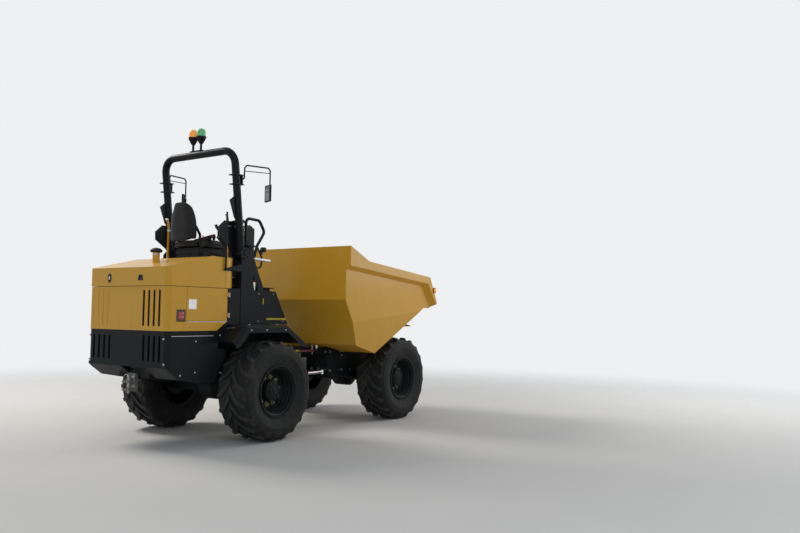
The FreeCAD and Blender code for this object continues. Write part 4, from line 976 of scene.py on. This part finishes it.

# Towers: pivot bolts and pins, rail clamps, bright cross bar sleeves as a painted highlight on the black bar, and work
# lamps; places are for the left
towerFit = {
    "pivot": (-1.185, 2.180), "discY": 0.6921, "ring": 0.055, "bolts": 6, "firstBolt": 15,
    "lockPin": (-1.229, 0.562, 2.503),          # on the rear plate, inside the hoop's leg
    "railClamp": (-1.322, 0.540, 2.500), "railTube": (-1.322, 0.530, 2.486),
    "railTop": (-1.3455, 0.530, 2.631), "railAlong": (-0.489, 0, 0.872),
    "crossBar": ((-1.000, 0.575, 2.1443), (-0.653, 0.575, 2.1291)),
    "lamp": (-0.770, 0.575, 2.262), "lampFoot": (-0.804, 0.575, 2.224), "lampFace": (-0.7475, 0.575, 2.257),
    "lampTilt": 12,
}
for side, tag in bothSides:
    out = (0, side, 0)
    pivotX, pivotZ = towerFit["pivot"]
    rows = []
    for i in range(towerFit["bolts"]):
        turn = math.radians(360 / towerFit["bolts"] * i + towerFit["firstBolt"])
        rows.append(((
            pivotX + towerFit["ring"] * math.cos(turn), side * towerFit["discY"],
            pivotZ + towerFit["ring"] * math.sin(turn)), out, 0.8))
    scatter(boltModel, rows, "pivot_bolts_" + tag, "rear_frame", "black_paint")
    pinHead = turnedUp([(0, 0.024), (0.006, 0.024), (0.009, 0.020), (0.009, 0.012), (0.005, 0.010)], 32)
    pinHead = laid(pinHead, (pivotX, side * towerFit["discY"], pivotZ), out)
    fit(pinHead, "pivot_pin_head_" + tag, "rear_frame", "black_paint")
    lockPin = turnedUp([(0, 0.019), (0.0025, 0.019), (0.003, 0.014), (0.007, 0.013), (0.008, 0.010)], 24)
    fit(laid(lockPin, onSide(towerFit["lockPin"], side), out), "hoop_lock_pin_" + tag, "rear_frame", "silver_zinc")
    railClamp = joinUp([
        startBox((0.050, 0.052, 0.010), onSide(towerFit["railClamp"], side), soften=0.003),
        turnedUp([(0, 0.020), (0.028, 0.020), (0.030, 0.017)], 24, place=onSide(towerFit["railTube"], side))])
    fit(railClamp, "rail_clamp_" + tag, "rear_frame", "silver_zinc")
    railCap = turnedUp([(0, 0.0165), (0.018, 0.0165), (0.021, 0.012)], 24)
    railCap = laid(railCap, onSide(towerFit["railTop"], side), towerFit["railAlong"])
    fit(railCap, "rail_cap_" + tag, "rear_frame", "silver_zinc", plateSilver)
    # the cross bar is wrapped in a bright silver sleeve that stands in for sunlight on a black bar: a painted
    # highlight
    start, end = [onSide(place, side) for place in towerFit["crossBar"]]
    long = (end - start).length
    highlightSleeve = turnedUp([(0, 0.0182), (0.0005, 0.0186), (long, 0.0186), (long + 0.003, 0.0150)], 28)
    fit(laid(highlightSleeve, start, end - start), "cross_bar_sleeve_" + tag, "rear_frame", "silver_zinc", plateSilver)
    lampTurn = tilt(towerFit["lampTilt"])
    lamp = joinUp([
        startBox((0.045, 0.070, 0.055), onSide(towerFit["lamp"], side), turn=lampTurn, soften=0.006),
        startBox((0.040, 0.016, 0.050), onSide(towerFit["lampFoot"], side), soften=0.003, steps=1)])
    fit(lamp, "work_lamp_" + tag, "rear_frame", "black_plastic")
    face = startBox((0.003, 0.058, 0.043), onSide(towerFit["lampFace"], side), turn=lampTurn, soften=0.001, steps=1)
    fit(face, "work_lamp_face_" + tag, "rear_frame", "silver_zinc", clearLens)

# Side boxes: a yellow edge strip, lid, bolts, filler cap, tag and valves; places are for the left
boxFit = {
    "stripX": (-0.785, -0.436), "stripZ": 1.412, "faceY": 0.6601,
    "lid": (-0.820, 0.546, 1.7550),
    "bolts": [(-0.915, 1.715), (-0.660, 1.715), (-0.915, 1.385), (-0.480, 1.385)],
    "filler": (-0.885, -0.547, 1.7578), "fillerGrip": (-0.885, -0.547, 1.7978), "tag": (-0.838, -0.6625, 1.625),
    "valveBlock": (-0.9995, 0.620, 1.8021), "valveTop": 1.852,
    "valves": [(-1.014, 0.636, 0.015), (-0.984, 0.606, 0.014), (-1.014, 0.604, 0.012)],      # x, y and radius
    "knob": (-0.984, 0.636),
}
for side, tag in bothSides:
    strip = startBox(
        (boxFit["stripX"][1] - boxFit["stripX"][0], 0.016, 0.024),
        (sum(boxFit["stripX"]) / 2, side * (boxFit["faceY"] + 0.0078), boxFit["stripZ"]), soften=0.003)
    fit(strip, "box_strip_" + tag, "rear_frame", "yellow_paint", markerYellow)
    lid = startBox((0.360, 0.078, 0.006), onSide(boxFit["lid"], side), soften=0.002)
    pressIn(lid, facesUp(0.01), 0.012, 0.002)
    fit(lid, "box_lid_" + tag, "rear_frame", "black_paint")
    rows = [((x, side * boxFit["faceY"], z), (0, side, 0), 0.7) for x, z in boxFit["bolts"]]
    scatter(domeModel, rows, "box_bolts_" + tag, "rear_frame", "silver_zinc")
fillerProfile = [(0, 0.031), (0.012, 0.031), (0.014, 0.038), (0.030, 0.038), (0.036, 0.032), (0.038, 0.014)]
filler = joinUp([
    turnedUp(fillerProfile, 32, place=boxFit["filler"]),
    startBox((0.062, 0.010, 0.012), boxFit["fillerGrip"], soften=0.003)])
fit(filler, "filler_cap", "rear_frame", "silver_zinc", plateSilver)
boxTag = startBox((0.016, 0.004, 0.070), boxFit["tag"], soften=0.0012)
fit(boxTag, "box_tag", "rear_frame", "yellow_paint", markerYellow)
for side, tag in bothSides:
    block = startBox((0.066, 0.066, 0.100), onSide(boxFit["valveBlock"], side), soften=0.004)
    fit(block, "valve_block_" + tag, "rear_frame", "silver_zinc")
    stack = []
    for i, (x, y, r) in enumerate(boxFit["valves"]):
        profile = [(0, r), (0.018, r), (0.019, r * 0.7), (0.034, r * 0.7), (0.036, r * 0.55)]
        stack.append(turnedUp(profile, 6 if i % 2 else 20, place=(x, side * y, boxFit["valveTop"])))
    fit(joinUp(stack), "valve_fittings_" + tag, "rear_frame", "silver_zinc", nutSteel)
    knob = turnedUp(
        [(0, 0.011), (0.004, 0.014), (0.018, 0.014), (0.022, 0.008)], 20,
        place=onSide((*boxFit["knob"], boxFit["valveTop"]), side))
    fit(knob, "valve_knob_" + tag, "rear_frame", "red_paint", beltRed)
print("hoop, towers and side boxes fitted")

# Fenders: bolts on the flat top; the rivets along the folded lip are added with the tail lamps
fenderFit = {
    "topX": (-1.280, -0.820), "topY": 0.880, "topZ": 1.3452, "lipX": (-1.330, -1.078, -0.760), "lipY": 0.970,
    "lipZ": 1.287}
rows = [
    ((x, side * fenderFit["topY"], fenderFit["topZ"]), (0, 0, 1), 0.8) for side,
    tag in bothSides for x in fenderFit["topX"]]
scatter(boltModel, rows, "fender_bolts", "rear_frame", "silver_zinc")

# Dash: instrument cluster, switches and key on the sloped face
dashFit = {
    "normal": (-0.810, 0, 0.586), "middle": (-0.7325, 0, 2.5225),
    "clusterY": 0.145, "keyY": -0.222,
    "switches": 4, "switchY": -0.095, "switchStep": -0.030,
}
dashNormal = Vector(dashFit["normal"])
dashTurn = dashNormal.to_track_quat("Z", "Y").to_euler()


def onDash(y, off):
    # a place on the dash's face, by its y and how far it stands off
    return Vector(dashFit["middle"]) + Vector((0, y, 0)) + dashNormal * off


cluster = startBox((0.170, 0.090, 0.014), onDash(dashFit["clusterY"], 0.004), turn=dashTurn, soften=0.004)
pressIn(cluster, lambda face: face.normal.dot(dashNormal) > 0.99 and face.calc_area() > 0.008, 0.010, 0.003)
fit(cluster, "instrument_cluster", "rear_frame", "black_plastic")
screen = startBox((0.146, 0.066, 0.002), onDash(dashFit["clusterY"], 0.0092), turn=dashTurn, soften=0.0005, steps=1)
fit(screen, "instrument_screen", "rear_frame", "black_plastic", screenGlass)
switchModel = asModel(joinUp([
    startBox((0.040, 0.024, 0.010), soften=0.002),
    startBox((0.032, 0.018, 0.008), (0, 0, 0.007), turn=tilt(9), soften=0.002)]))
switches = []
for i in range(dashFit["switches"]):
    place = onDash(dashFit["switchY"] + dashFit["switchStep"] * i, 0.004)
    switches.append(copyTo(switchModel, place, dashNormal, spin=math.pi / 2))
fit(joinUp(switches), "dash_switches", "rear_frame", "black_plastic")
ignition = turnedUp([(0, 0.014), (0.008, 0.014), (0.010, 0.010), (0.010, 0.004), (0.026, 0.004), (0.027, 0.003)], 20)
fit(laid(ignition, onDash(dashFit["keyY"], 0.002), dashNormal), "ignition_key", "rear_frame", "silver_zinc")

# Controls: pedals, drive lever, floor mat, and the skip's lever on its console
controlFit = {
    "pedalX": -0.760, "pedalY": (-0.090, -0.190, 0.120), "floorZ": 1.8003,
    "driveLever": [(-0.7443, 0.022, 2.535), (-0.735, 0.090, 2.543), (-0.715, 0.150, 2.556)],
    "driveKnob": (-0.716, 0.146, 2.555),
    "mat": (-1.030, 0, 1.8040),
    "console": (-1.385, -0.330, 2.1595), "boot": (-1.365, -0.330, 2.198),
    "skipLever": [(-1.365, -0.330, 2.215), (-1.360, -0.330, 2.300), (-1.350, -0.330, 2.345)],
    "skipKnob": (-1.350, -0.330, 2.340),
}
pedalModel = asModel(joinUp([
    startBox((0.014, 0.070, 0.110), (0, 0, 0.085), turn=tilt(-38), soften=0.004),
    startBox((0.016, 0.020, 0.070), (0.018, 0, 0.035), turn=tilt(20), soften=0.003, steps=1)]))
pedals = [copyTo(pedalModel, (controlFit["pedalX"], y, controlFit["floorZ"])) for y in controlFit["pedalY"]]
fit(joinUp(pedals), "pedals", "rear_frame", "black_plastic")
lever = joinUp([
    tubeAlong(controlFit["driveLever"], 0.006, 12, 0.02),
    turnedUp([(0, 0.008), (0.008, 0.014), (0.030, 0.017), (0.044, 0.012), (0.048, 0.005)], 20,
             place=controlFit["driveKnob"], turn=(math.radians(-78), 0, math.radians(-18)))])
fit(lever, "drive_lever", "rear_frame", "black_plastic")
mat = startBox((0.440, 0.900, 0.008), controlFit["mat"], soften=0.002, steps=1)
pressIn(mat, facesUp(0.1), 0.015, 0.002)
fit(mat, "floor_mat", "rear_frame", "black_plastic", ribbedRubber)
console = startBox((0.165, 0.090, 0.085), controlFit["console"], soften=0.012, steps=3)
pressIn(console, facesUp(0.01), 0.014, 0.003)
fit(console, "skip_lever_base", "rear_frame", "black_plastic")
skipLever = joinUp([
    turnedUp([(0, 0.030), (0.010, 0.026), (0.022, 0.020), (0.030, 0.012)], 24, place=controlFit["boot"]),
    tubeAlong(controlFit["skipLever"], 0.007, 12, 0.02),
    turnedUp([(0, 0.009), (0.012, 0.017), (0.045, 0.021), (0.066, 0.016), (0.074, 0.006)], 24,
             place=controlFit["skipKnob"])])
fit(skipLever, "skip_lever", "rear_frame", "black_plastic")
print("controls fitted")

# Skip: weld beads along its folds, lamp bases, and a rubber wedge on the bracket under each side of the lip
skipFit = {
    # x, half width and z down the rear corner, along the belly's edge and up to the lip
    "edge": [
        (0.162, 1.145, 2.060), (0.162, 1.145, 1.670), (0.3237, 1.145, 1.3777), (0.490, 1.0753, 1.077),
        (0.960, 1.0387, 0.957), (1.933, 1.145, 1.5355), (2.030, 1.145, 1.593), (2.186, 1.145, 1.592)],
    "top": [(0.162, 1.219, 2.112), (0.162, 1.219, 2.364)],
    "beads": {"edge": 0.0042, "top": 0.0038},
    "lampBase": (2.213, 1.2215, 1.855), "screwY": 1.2265, "screwZ": (1.8205, 1.8895),
    "wedge": (1.775, 1.040, 1.3337), "wedgeRear": -0.038, "wedgeFront": -0.070,
}
for side, tag in bothSides:
    beads = [tubeAlong([onSide(place, side) for place in skipFit[key]], radius, 8, 0.006)
             for key, radius in skipFit["beads"].items()]
    fit(joinUp(beads), "skip_welds_" + tag, "skip_body", "yellow_paint")
    base = startBox((0.066, 0.010, 0.078), onSide(skipFit["lampBase"], side), soften=0.004)
    screws = []
    for z in skipFit["screwZ"]:
        screw = turnedUp([(0, 0.012), (0.002, 0.012), (0.003, 0.006)], 16)
        place = onSide((skipFit["lampBase"][0], skipFit["screwY"], z), side)
        screws.append(laid(screw, place, (0, side, 0), size=0.5))
    fit(joinUp([base] + screws), "skip_lamp_base_" + tag, "skip_body", "black_plastic")
for side, tag in bothSides:
    wedge = startBox((0.110, 0.030, 0.020), onSide(skipFit["wedge"], side))
    for vertex in wedge.data.vertices:
        if vertex.co.z > skipFit["wedge"][2]:
            vertex.co.x += skipFit["wedgeRear" if vertex.co.x < skipFit["wedge"][0] else "wedgeFront"]
    roundEdges(wedge, 0.003)
    fit(wedge, "lip_wedge_" + tag, "skip_body", "black_plastic")

# Tail lamps: a grey frame round the lenses and a moulded lens in each; bright strips along the doors' lower edges as a
# painted highlight, and wheel arches
lampFit = {
    "x": (-2.1600, -2.0440), "z": (1.3880, 1.5040), "openX": (-2.1370, -2.0600), "openZ": (1.4060, 1.4880),
    "y": (0.6500, 0.6790), "lensY": 0.6782, "lensZ": ((1.4080, 1.4440), (1.4480, 1.4860)),
}
archFit = {
    # where the bright strip painted as a highlight on each door's lower edge sits
    "doorHighlightStrip": (-1.7285, 0.6835, 1.3800),
    "panel": (-0.455, 0.4945, 1.1675),          # closes the wheel arch in front of the platform's wall
    "rearTopZ": 1.2570, "frontTopZ": 1.1215,
}
for side, tag in bothSides:
    spanY = sorted(side * y for y in lampFit["y"])
    bars = []
    for spanZ in ((lampFit["z"][0], lampFit["openZ"][0]), (lampFit["openZ"][1], lampFit["z"][1])):
        bars.append(spanBox(lampFit["x"], spanY, spanZ, soften=0.002))
    sideZ = (lampFit["openZ"][0] - 0.002, lampFit["openZ"][1] + 0.002)
    for spanX in ((lampFit["x"][0], lampFit["openX"][0]), (lampFit["openX"][1], lampFit["x"][1])):
        bars.append(spanBox(spanX, spanY, sideZ, soften=0.002))
    fit(joinUp(bars), "tail_lamp_frame_" + tag, "rear_frame", "black_plastic", lampGrey)
    lenses = []
    for z0, z1 in lampFit["lensZ"]:
        place = (sum(lampFit["openX"]) / 2, side * lampFit["lensY"], (z0 + z1) / 2)
        lenses.append(startBox((0.074, 0.006, z1 - z0), place, soften=0.0024, steps=3))
    fit(joinUp(lenses), "tail_lamp_lens_" + tag, "rear_frame", "red_lens")
    # a silver strip along the door's lower edge stands in for the light on that edge: a painted highlight
    strip = startBox((0.583, 0.0016, 0.0055), onSide(archFit["doorHighlightStrip"], side), soften=0.0005, steps=1)
    fit(strip, "door_strip_" + tag, "rear_frame", "silver_zinc", plateSilver)
    arch = startBox((0.206, 0.008, 0.179), onSide(archFit["panel"], side))
    for vertex in arch.data.vertices:
        if vertex.co.z > archFit["panel"][2]:
            vertex.co.z = archFit["rearTopZ" if vertex.co.x < archFit["panel"][0] else "frontTopZ"]
    fit(roundEdges(arch, 0.002), "arch_panel_" + tag, "rear_frame", "black_paint")
    rows = [((x, side * fenderFit["lipY"], fenderFit["lipZ"]), (0, side, 0), 0.9) for x in fenderFit["lipX"]]
    scatter(domeModel, rows, "fender_rivets_" + tag, "rear_frame", "silver_zinc")

# Intake: clamp band with its screw under the rain cap
intakeFit = {"band": (-1.955, -0.050, 2.132), "screw": (-1.970, -0.0955, 2.139)}
bandProfile = [(0, 0.0403), (0.0006, 0.0424), (0.0140, 0.0424), (0.0146, 0.0403)]
screw = turnedUp([(0, 0.006), (0.022, 0.006), (0.023, 0.0045), (0.030, 0.0045)], 14)
bandParts = [turnedUp(bandProfile, 40, place=intakeFit["band"]), laid(screw, intakeFit["screw"], (1, 0, 0))]
fit(joinUp(bandParts), "cap_clamp", "cover", "silver_zinc")

# Tow hitch: a pin with a bent grip, a spring clip and bolts
hitchFit = {
    "pin": (-2.230, 0, 0.580),
    "grip": [(-2.230, 0, 0.735), (-2.230, 0, 0.775), (-2.230, 0.050, 0.790), (-2.230, 0.075, 0.770)],
    "clip": [
        (-2.212, -0.004, 0.590), (-2.250, 0.004, 0.590), (-2.262, 0.012, 0.596), (-2.246, 0.018, 0.602),
        (-2.214, 0.010, 0.597)],
    "boltX": -2.2003, "boltY": (-0.046, 0.046), "boltZ": (0.655, 0.762),
}
pinProfile = [(0, 0.0105), (0.006, 0.0145), (0.150, 0.0145), (0.151, 0.0230), (0.160, 0.0230), (0.163, 0.0190)]
pin = joinUp([turnedUp(pinProfile, 28, place=hitchFit["pin"]), tubeAlong(hitchFit["grip"], 0.006, 12, 0.014)])
fit(pin, "hitch_pin", "rear_frame", "silver_zinc")
fit(tubeAlong(hitchFit["clip"], 0.0024, 8, 0.004), "hitch_clip", "rear_frame", "silver_zinc")
rows = [((hitchFit["boltX"], y, z), (-1, 0, 0), 1.15) for y in hitchFit["boltY"] for z in hitchFit["boltZ"]]
scatter(boltModel, rows, "hitch_bolts", "rear_frame", "silver_zinc")

# Articulation: lock bar's tag and pin, breather on the lug, blank plate and bolts on the front frame
frontFit = {
    "lockTag": (0.128, -0.3690, 0.988), "lockPin": (0.4448, -0.360, 0.932),
    "lockRing": [
        (0.4448, -0.360, 1.038), (0.4448, -0.372, 1.050), (0.4448, -0.360, 1.064), (0.4448, -0.348, 1.050),
        (0.4448, -0.360, 1.039)],
    "breather": (0.537, -0.360, 1.000),
    "plate": (0.556, -0.1110, 0.823), "rivetY": -0.1120, "rivetReach": (0.052, 0.042),
    "plateBoltX": 0.6550, "plateBoltY": (0.180, 0.300, 0.420), "plateBoltZ": (0.720, 0.960),
    "sideBoltY": 0.450,
    "sideBolts": [(0.720, 0.700), (0.720, 0.960), (0.980, 0.700), (0.980, 0.900), (1.180, 0.700)],      # x and z
    "skipPin": (1.830, 0.4502, 1.000),
}
lockTag = startBox((0.066, 0.005, 0.026), frontFit["lockTag"], soften=0.0015)
fit(lockTag, "lock_bar_tag", "front_frame", "yellow_paint", markerYellow)
pinProfile = [(0, 0.0055), (0.004, 0.0080), (0.100, 0.0080), (0.101, 0.0130), (0.108, 0.0130), (0.110, 0.0105)]
lockPin = joinUp([
    turnedUp(pinProfile, 24, place=frontFit["lockPin"]), tubeAlong(frontFit["lockRing"], 0.0022, 8, 0.005)])
fit(lockPin, "lock_bar_pin", "front_frame", "silver_zinc")
breatherProfile = [(0, 0.0090), (0.012, 0.0090), (0.013, 0.0170), (0.050, 0.0170), (0.058, 0.0120), (0.060, 0.0060)]
breather = turnedUp(breatherProfile, 24, place=frontFit["breather"])
fit(breather, "lug_breather", "front_frame", "silver_zinc", plateSilver)
plate = startBox((0.120, 0.0024, 0.100), frontFit["plate"], soften=0.0008, steps=1)
pressIn(plate, lambda face: face.normal.y < -0.9 and face.calc_area() > 0.005, 0.006, 0.0006)
fit(plate, "blank_plate_knuckle", "front_frame", "silver_zinc", creamPlate)
plateX, plateZ = frontFit["plate"][::2]
reachX, reachZ = frontFit["rivetReach"]
rows = [((plateX + u * reachX, frontFit["rivetY"], plateZ + v * reachZ), (0, -1, 0), 0.35)
        for u in (-1, 1) for v in (-1, 1)]
scatter(domeModel, rows, "plate_rivets_knuckle", "front_frame", "silver_zinc")
rows = [((frontFit["plateBoltX"], side * y, z), (-1, 0, 0), 1.2)
        for side, tag in bothSides for y in frontFit["plateBoltY"] for z in frontFit["plateBoltZ"]]
scatter(boltModel, rows, "front_plate_bolts", "front_frame", "silver_zinc", nutSteel)

# Steering cylinders: grease nipples on the base pins and a gland at the barrel's mouth
steerFit = {
    "base": (-0.330, 0.390, 0.690), "along": (0.900, 0.040, 0), "glandAt": 0.560,
    "nippleTop": (-0.330, 0.390, 0.7408), "nippleOut": (-0.260, 0.4182, 0.700),
}
for side, tag in bothSides:
    out = (0, side, 0)
    rows = [((x, side * frontFit["sideBoltY"], z), out, 1.1) for x, z in frontFit["sideBolts"]]
    scatter(boltModel, rows, "front_side_bolts_" + tag, "front_frame", "silver_zinc", nutSteel)
    cap = turnedUp([(0, 0.046), (0.006, 0.046), (0.010, 0.040), (0.010, 0.022), (0.016, 0.018)], 36)
    fit(laid(cap, onSide(frontFit["skipPin"], side), out), "skip_pin_cap_" + tag, "front_frame", "black_paint")
    nipple = asModel(turnedUp([
        (0, 0.0060), (0.006, 0.0060), (0.007, 0.0035), (0.012, 0.0035), (0.014, 0.0050), (0.018, 0.0035),
        (0.019, 0.0015)], 12))
    things = [
        copyTo(nipple, onSide(steerFit["nippleTop"], side)), copyTo(nipple, onSide(steerFit["nippleOut"], side), out)]
    fit(joinUp(things), "steer_nipples_" + tag, "rear_frame", "silver_zinc", nutSteel)
    gland = turnedUp([(0, 0.0455), (0.002, 0.0475), (0.030, 0.0475), (0.034, 0.0440)], 36)
    direction = onSide(steerFit["along"], side).normalized()
    gland = laid(gland, onSide(steerFit["base"], side) + direction * steerFit["glandAt"], direction)
    fit(gland, "steer_gland_" + tag, "steer_barrel_" + tag[0], "black_paint")
print("skip, lamps, hitch and articulation fitted")

# Steps: raised grip studs in rows
stepFit = {"x": -0.366, "y": 0.530, "stepX": 0.024, "stepY": 0.026, "across": 8, "treads": {0.500: 9, 0.800: 7}}
rows = [((stepFit["x"] + stepFit["stepX"] * i, stepFit["y"] + stepFit["stepY"] * j, z), (0, 0, 1), 0.62)
        for z, deep in stepFit["treads"].items() for i in range(stepFit["across"]) for j in range(deep)]
scatter(domeModel, rows, "step_studs", "rear_frame", "black_paint", nutSteel)

# Engine bay: valve cover, bolts, air cleaner, filters and pulleys round the plain block
engineFit = {
    "valveCover": (-1.750, 0, 1.5905), "ribs": 9, "ribX": -1.920, "ribStep": 0.042, "ribZ": 1.6195,
    "boltX": (-2.020, -1.480), "boltY": (-0.180, 0.180), "boltZ": 1.560,
    "cleaner": (-1.900, 0.170, 1.690), "cleanerFoot": (-1.740, 0.170, 1.6000),
    "filterX": (-1.640, -1.760), "filterY": -0.268, "filterZ": 1.160, "bracket": (-1.700, -0.254, 1.298),
    "pulleys": [((-2.0503, 0, 1.200), 1.0), ((-2.0503, 0.150, 1.420), 0.6)],      # place and size
}
valveCover = startBox((0.480, 0.220, 0.060), engineFit["valveCover"], soften=0.014, steps=3)
pressIn(valveCover, facesUp(0.03), 0.020, 0.006)
ribModel = asModel(startBox((0.008, 0.150, 0.012), soften=0.002, steps=1))
ribs = [copyTo(ribModel, (engineFit["ribX"] + engineFit["ribStep"] * i, 0, engineFit["ribZ"]))
        for i in range(engineFit["ribs"])]
fit(joinUp([valveCover] + ribs), "valve_cover", "rear_frame", "engine_alloy")
rows = [((x, y, engineFit["boltZ"]), (0, 0, 1), 0.9) for x in engineFit["boltX"] for y in engineFit["boltY"]]
scatter(boltModel, rows, "engine_bolts", "rear_frame", "silver_zinc", nutSteel)
cleanerProfile = [
    (0, 0.066), (0.010, 0.080), (0.060, 0.080), (0.062, 0.085), (0.078, 0.085), (0.080, 0.078), (0.300, 0.074),
    (0.312, 0.060)]
cleaner = joinUp([
    turnedUp(cleanerProfile, 40, place=engineFit["cleaner"], turn=tilt(90)),
    startBox((0.060, 0.120, 0.080), engineFit["cleanerFoot"], soften=0.006)])
fit(cleaner, "air_cleaner", "rear_frame", "black_plastic")
filterProfile = [(0, 0.040), (0.004, 0.044), (0.100, 0.044), (0.106, 0.036), (0.112, 0.020), (0.130, 0.020)]
filters = [turnedUp(filterProfile, 28, place=(x, engineFit["filterY"], engineFit["filterZ"]))
           for x in engineFit["filterX"]]
bracket = startBox((0.220, 0.060, 0.020), engineFit["bracket"], soften=0.003, steps=1)
fit(joinUp(filters + [bracket]), "engine_filters", "rear_frame", "black_paint")
pulleyModel = asModel(turnedUp([
    (0, 0.030), (0.004, 0.085), (0.010, 0.085), (0.016, 0.074), (0.022, 0.085), (0.028, 0.085), (0.032, 0.030),
    (0.050, 0.026)], 40))
pulleys = [copyTo(pulleyModel, place, (-1, 0, 0), size=size) for place, size in engineFit["pulleys"]]
fit(joinUp(pulleys), "engine_pulleys", "rear_frame", "engine_alloy")
print("steps and engine bay fitted")


# Camera, light and floor
cameraLook = {
    "place": (-7.7305, -7.3370, 1.4975),
    "lens": 35.0,
    "heading": 34.147,      # from +X towards +Y
    "pitch": 3.488,
    "roll": 0.806,
}
lightTable = [
    # name, place, aim, size, watts, colour
    ("keyLight", (-2.0, 7.5, 8.5), (0.0, 0.0, 1.2), 4.0, 640, (1.0, 0.965, 0.91)),
    ("fillLight", (-8.5, -6.5, 5.5), (0.0, 0.0, 1.2), 7.0, 100, (0.93, 0.96, 1.0)),
    ("frontLight", (7.5, -5.5, 5.0), (0.5, 0.0, 1.2), 6.0, 225, (1.0, 0.98, 0.95)),
]

cameraData = bpy.data.cameras.new("photoCamera")
cameraData.lens = cameraLook["lens"]
cameraData.sensor_width = 36.0
camera = bpy.data.objects.new("photoCamera", cameraData)
bpy.context.scene.collection.objects.link(camera)
turn = Matrix.Rotation(math.radians(cameraLook["heading"] - 90), 4, "Z") @ Matrix.Rotation(
    math.radians(90 + cameraLook["pitch"]), 4, "X") @ Matrix.Rotation(math.radians(cameraLook["roll"]), 4, "Z")
camera.matrix_world = Matrix.Translation(cameraLook["place"]) @ turn
bpy.context.scene.camera = camera

for name, place, aim, size, watts, colour in lightTable:
    data = bpy.data.lights.new(name, "AREA")
    data.shape = "DISK"
    data.size = size
    data.energy = watts
    data.color = colour
    lamp = bpy.data.objects.new(name, data)
    bpy.context.scene.collection.objects.link(lamp)
    lamp.location = place
    lamp.rotation_euler = (Vector(aim) - Vector(place)).to_track_quat("-Z", "Y").to_euler()

world = bpy.data.worlds.new("studioWorld")
bpy.context.scene.world = world
world.use_nodes = True
worldTree = world.node_tree
background = worldTree.nodes["Background"]
background.inputs["Color"].default_value = (0.80, 0.86, 0.94, 1)
background.inputs["Strength"].default_value = 0.30
pale = worldTree.nodes.new("ShaderNodeBackground")
pale.inputs["Color"].default_value = (0.86, 0.87, 0.88, 1)
# the pale colour shows behind the object, through glass and in reflections, the blue one lights
rays = worldTree.nodes.new("ShaderNodeLightPath")
seen = rays.outputs["Is Camera Ray"]
for kind in ("Is Transmission Ray", "Is Glossy Ray"):
    either = worldTree.nodes.new("ShaderNodeMath")
    either.operation = "MAXIMUM"
    worldTree.links.new(seen, either.inputs[0])
    worldTree.links.new(rays.outputs[kind], either.inputs[1])
    seen = either.outputs[0]
choose = worldTree.nodes.new("ShaderNodeMixShader")
for i, output in enumerate((seen, background.outputs[0], pale.outputs[0])):
    worldTree.links.new(output, choose.inputs[i])
worldTree.links.new(choose.outputs[0], worldTree.nodes["World Output"].inputs["Surface"])
bpy.context.scene.view_settings.view_transform = "Standard"

bpy.ops.object.select_all(action="DESELECT")
bpy.ops.mesh.primitive_circle_add(vertices=96, radius=60.0, fill_type="NGON", location=(0, 0, -0.001))
floor = bpy.context.object
floor.name = "studioFloor"
floorFinish = Finish("floorFinish")
floorFinish.setSockets(
    Base_Color=floorFinish.mix((0.80, 0.79, 0.77, 1), (0.74, 0.73, 0.71, 1), floorFinish.noise(1.1, 6.0)),
    Roughness=0.85)
floorFinish.bump(floorFinish.noise(90.0, 4.0), 0.12, 0.002)
# far from the object the floor fades into the pale background
acrossX, acrossY = floorFinish.parts("XY")
faded = (acrossX * acrossX + acrossY * acrossY).root().ramp(4.0, 13.0)
fade = floorFinish.tree.nodes.new("ShaderNodeMixShader")
floorFinish.feed(fade.inputs[0], faded)
floorFinish.tree.links.new(floorFinish.shader.outputs[0], fade.inputs[1])
floorFinish.tree.links.new(floorFinish.tree.nodes.new("ShaderNodeBsdfTransparent").outputs[0], fade.inputs[2])
floorFinish.tree.links.new(fade.outputs[0], floorFinish.tree.nodes["Material Output"].inputs["Surface"])
floor.data.materials.append(floorFinish.material)
print("camera, light and floor set")

for thing in models:
    bpy.data.objects.remove(thing)
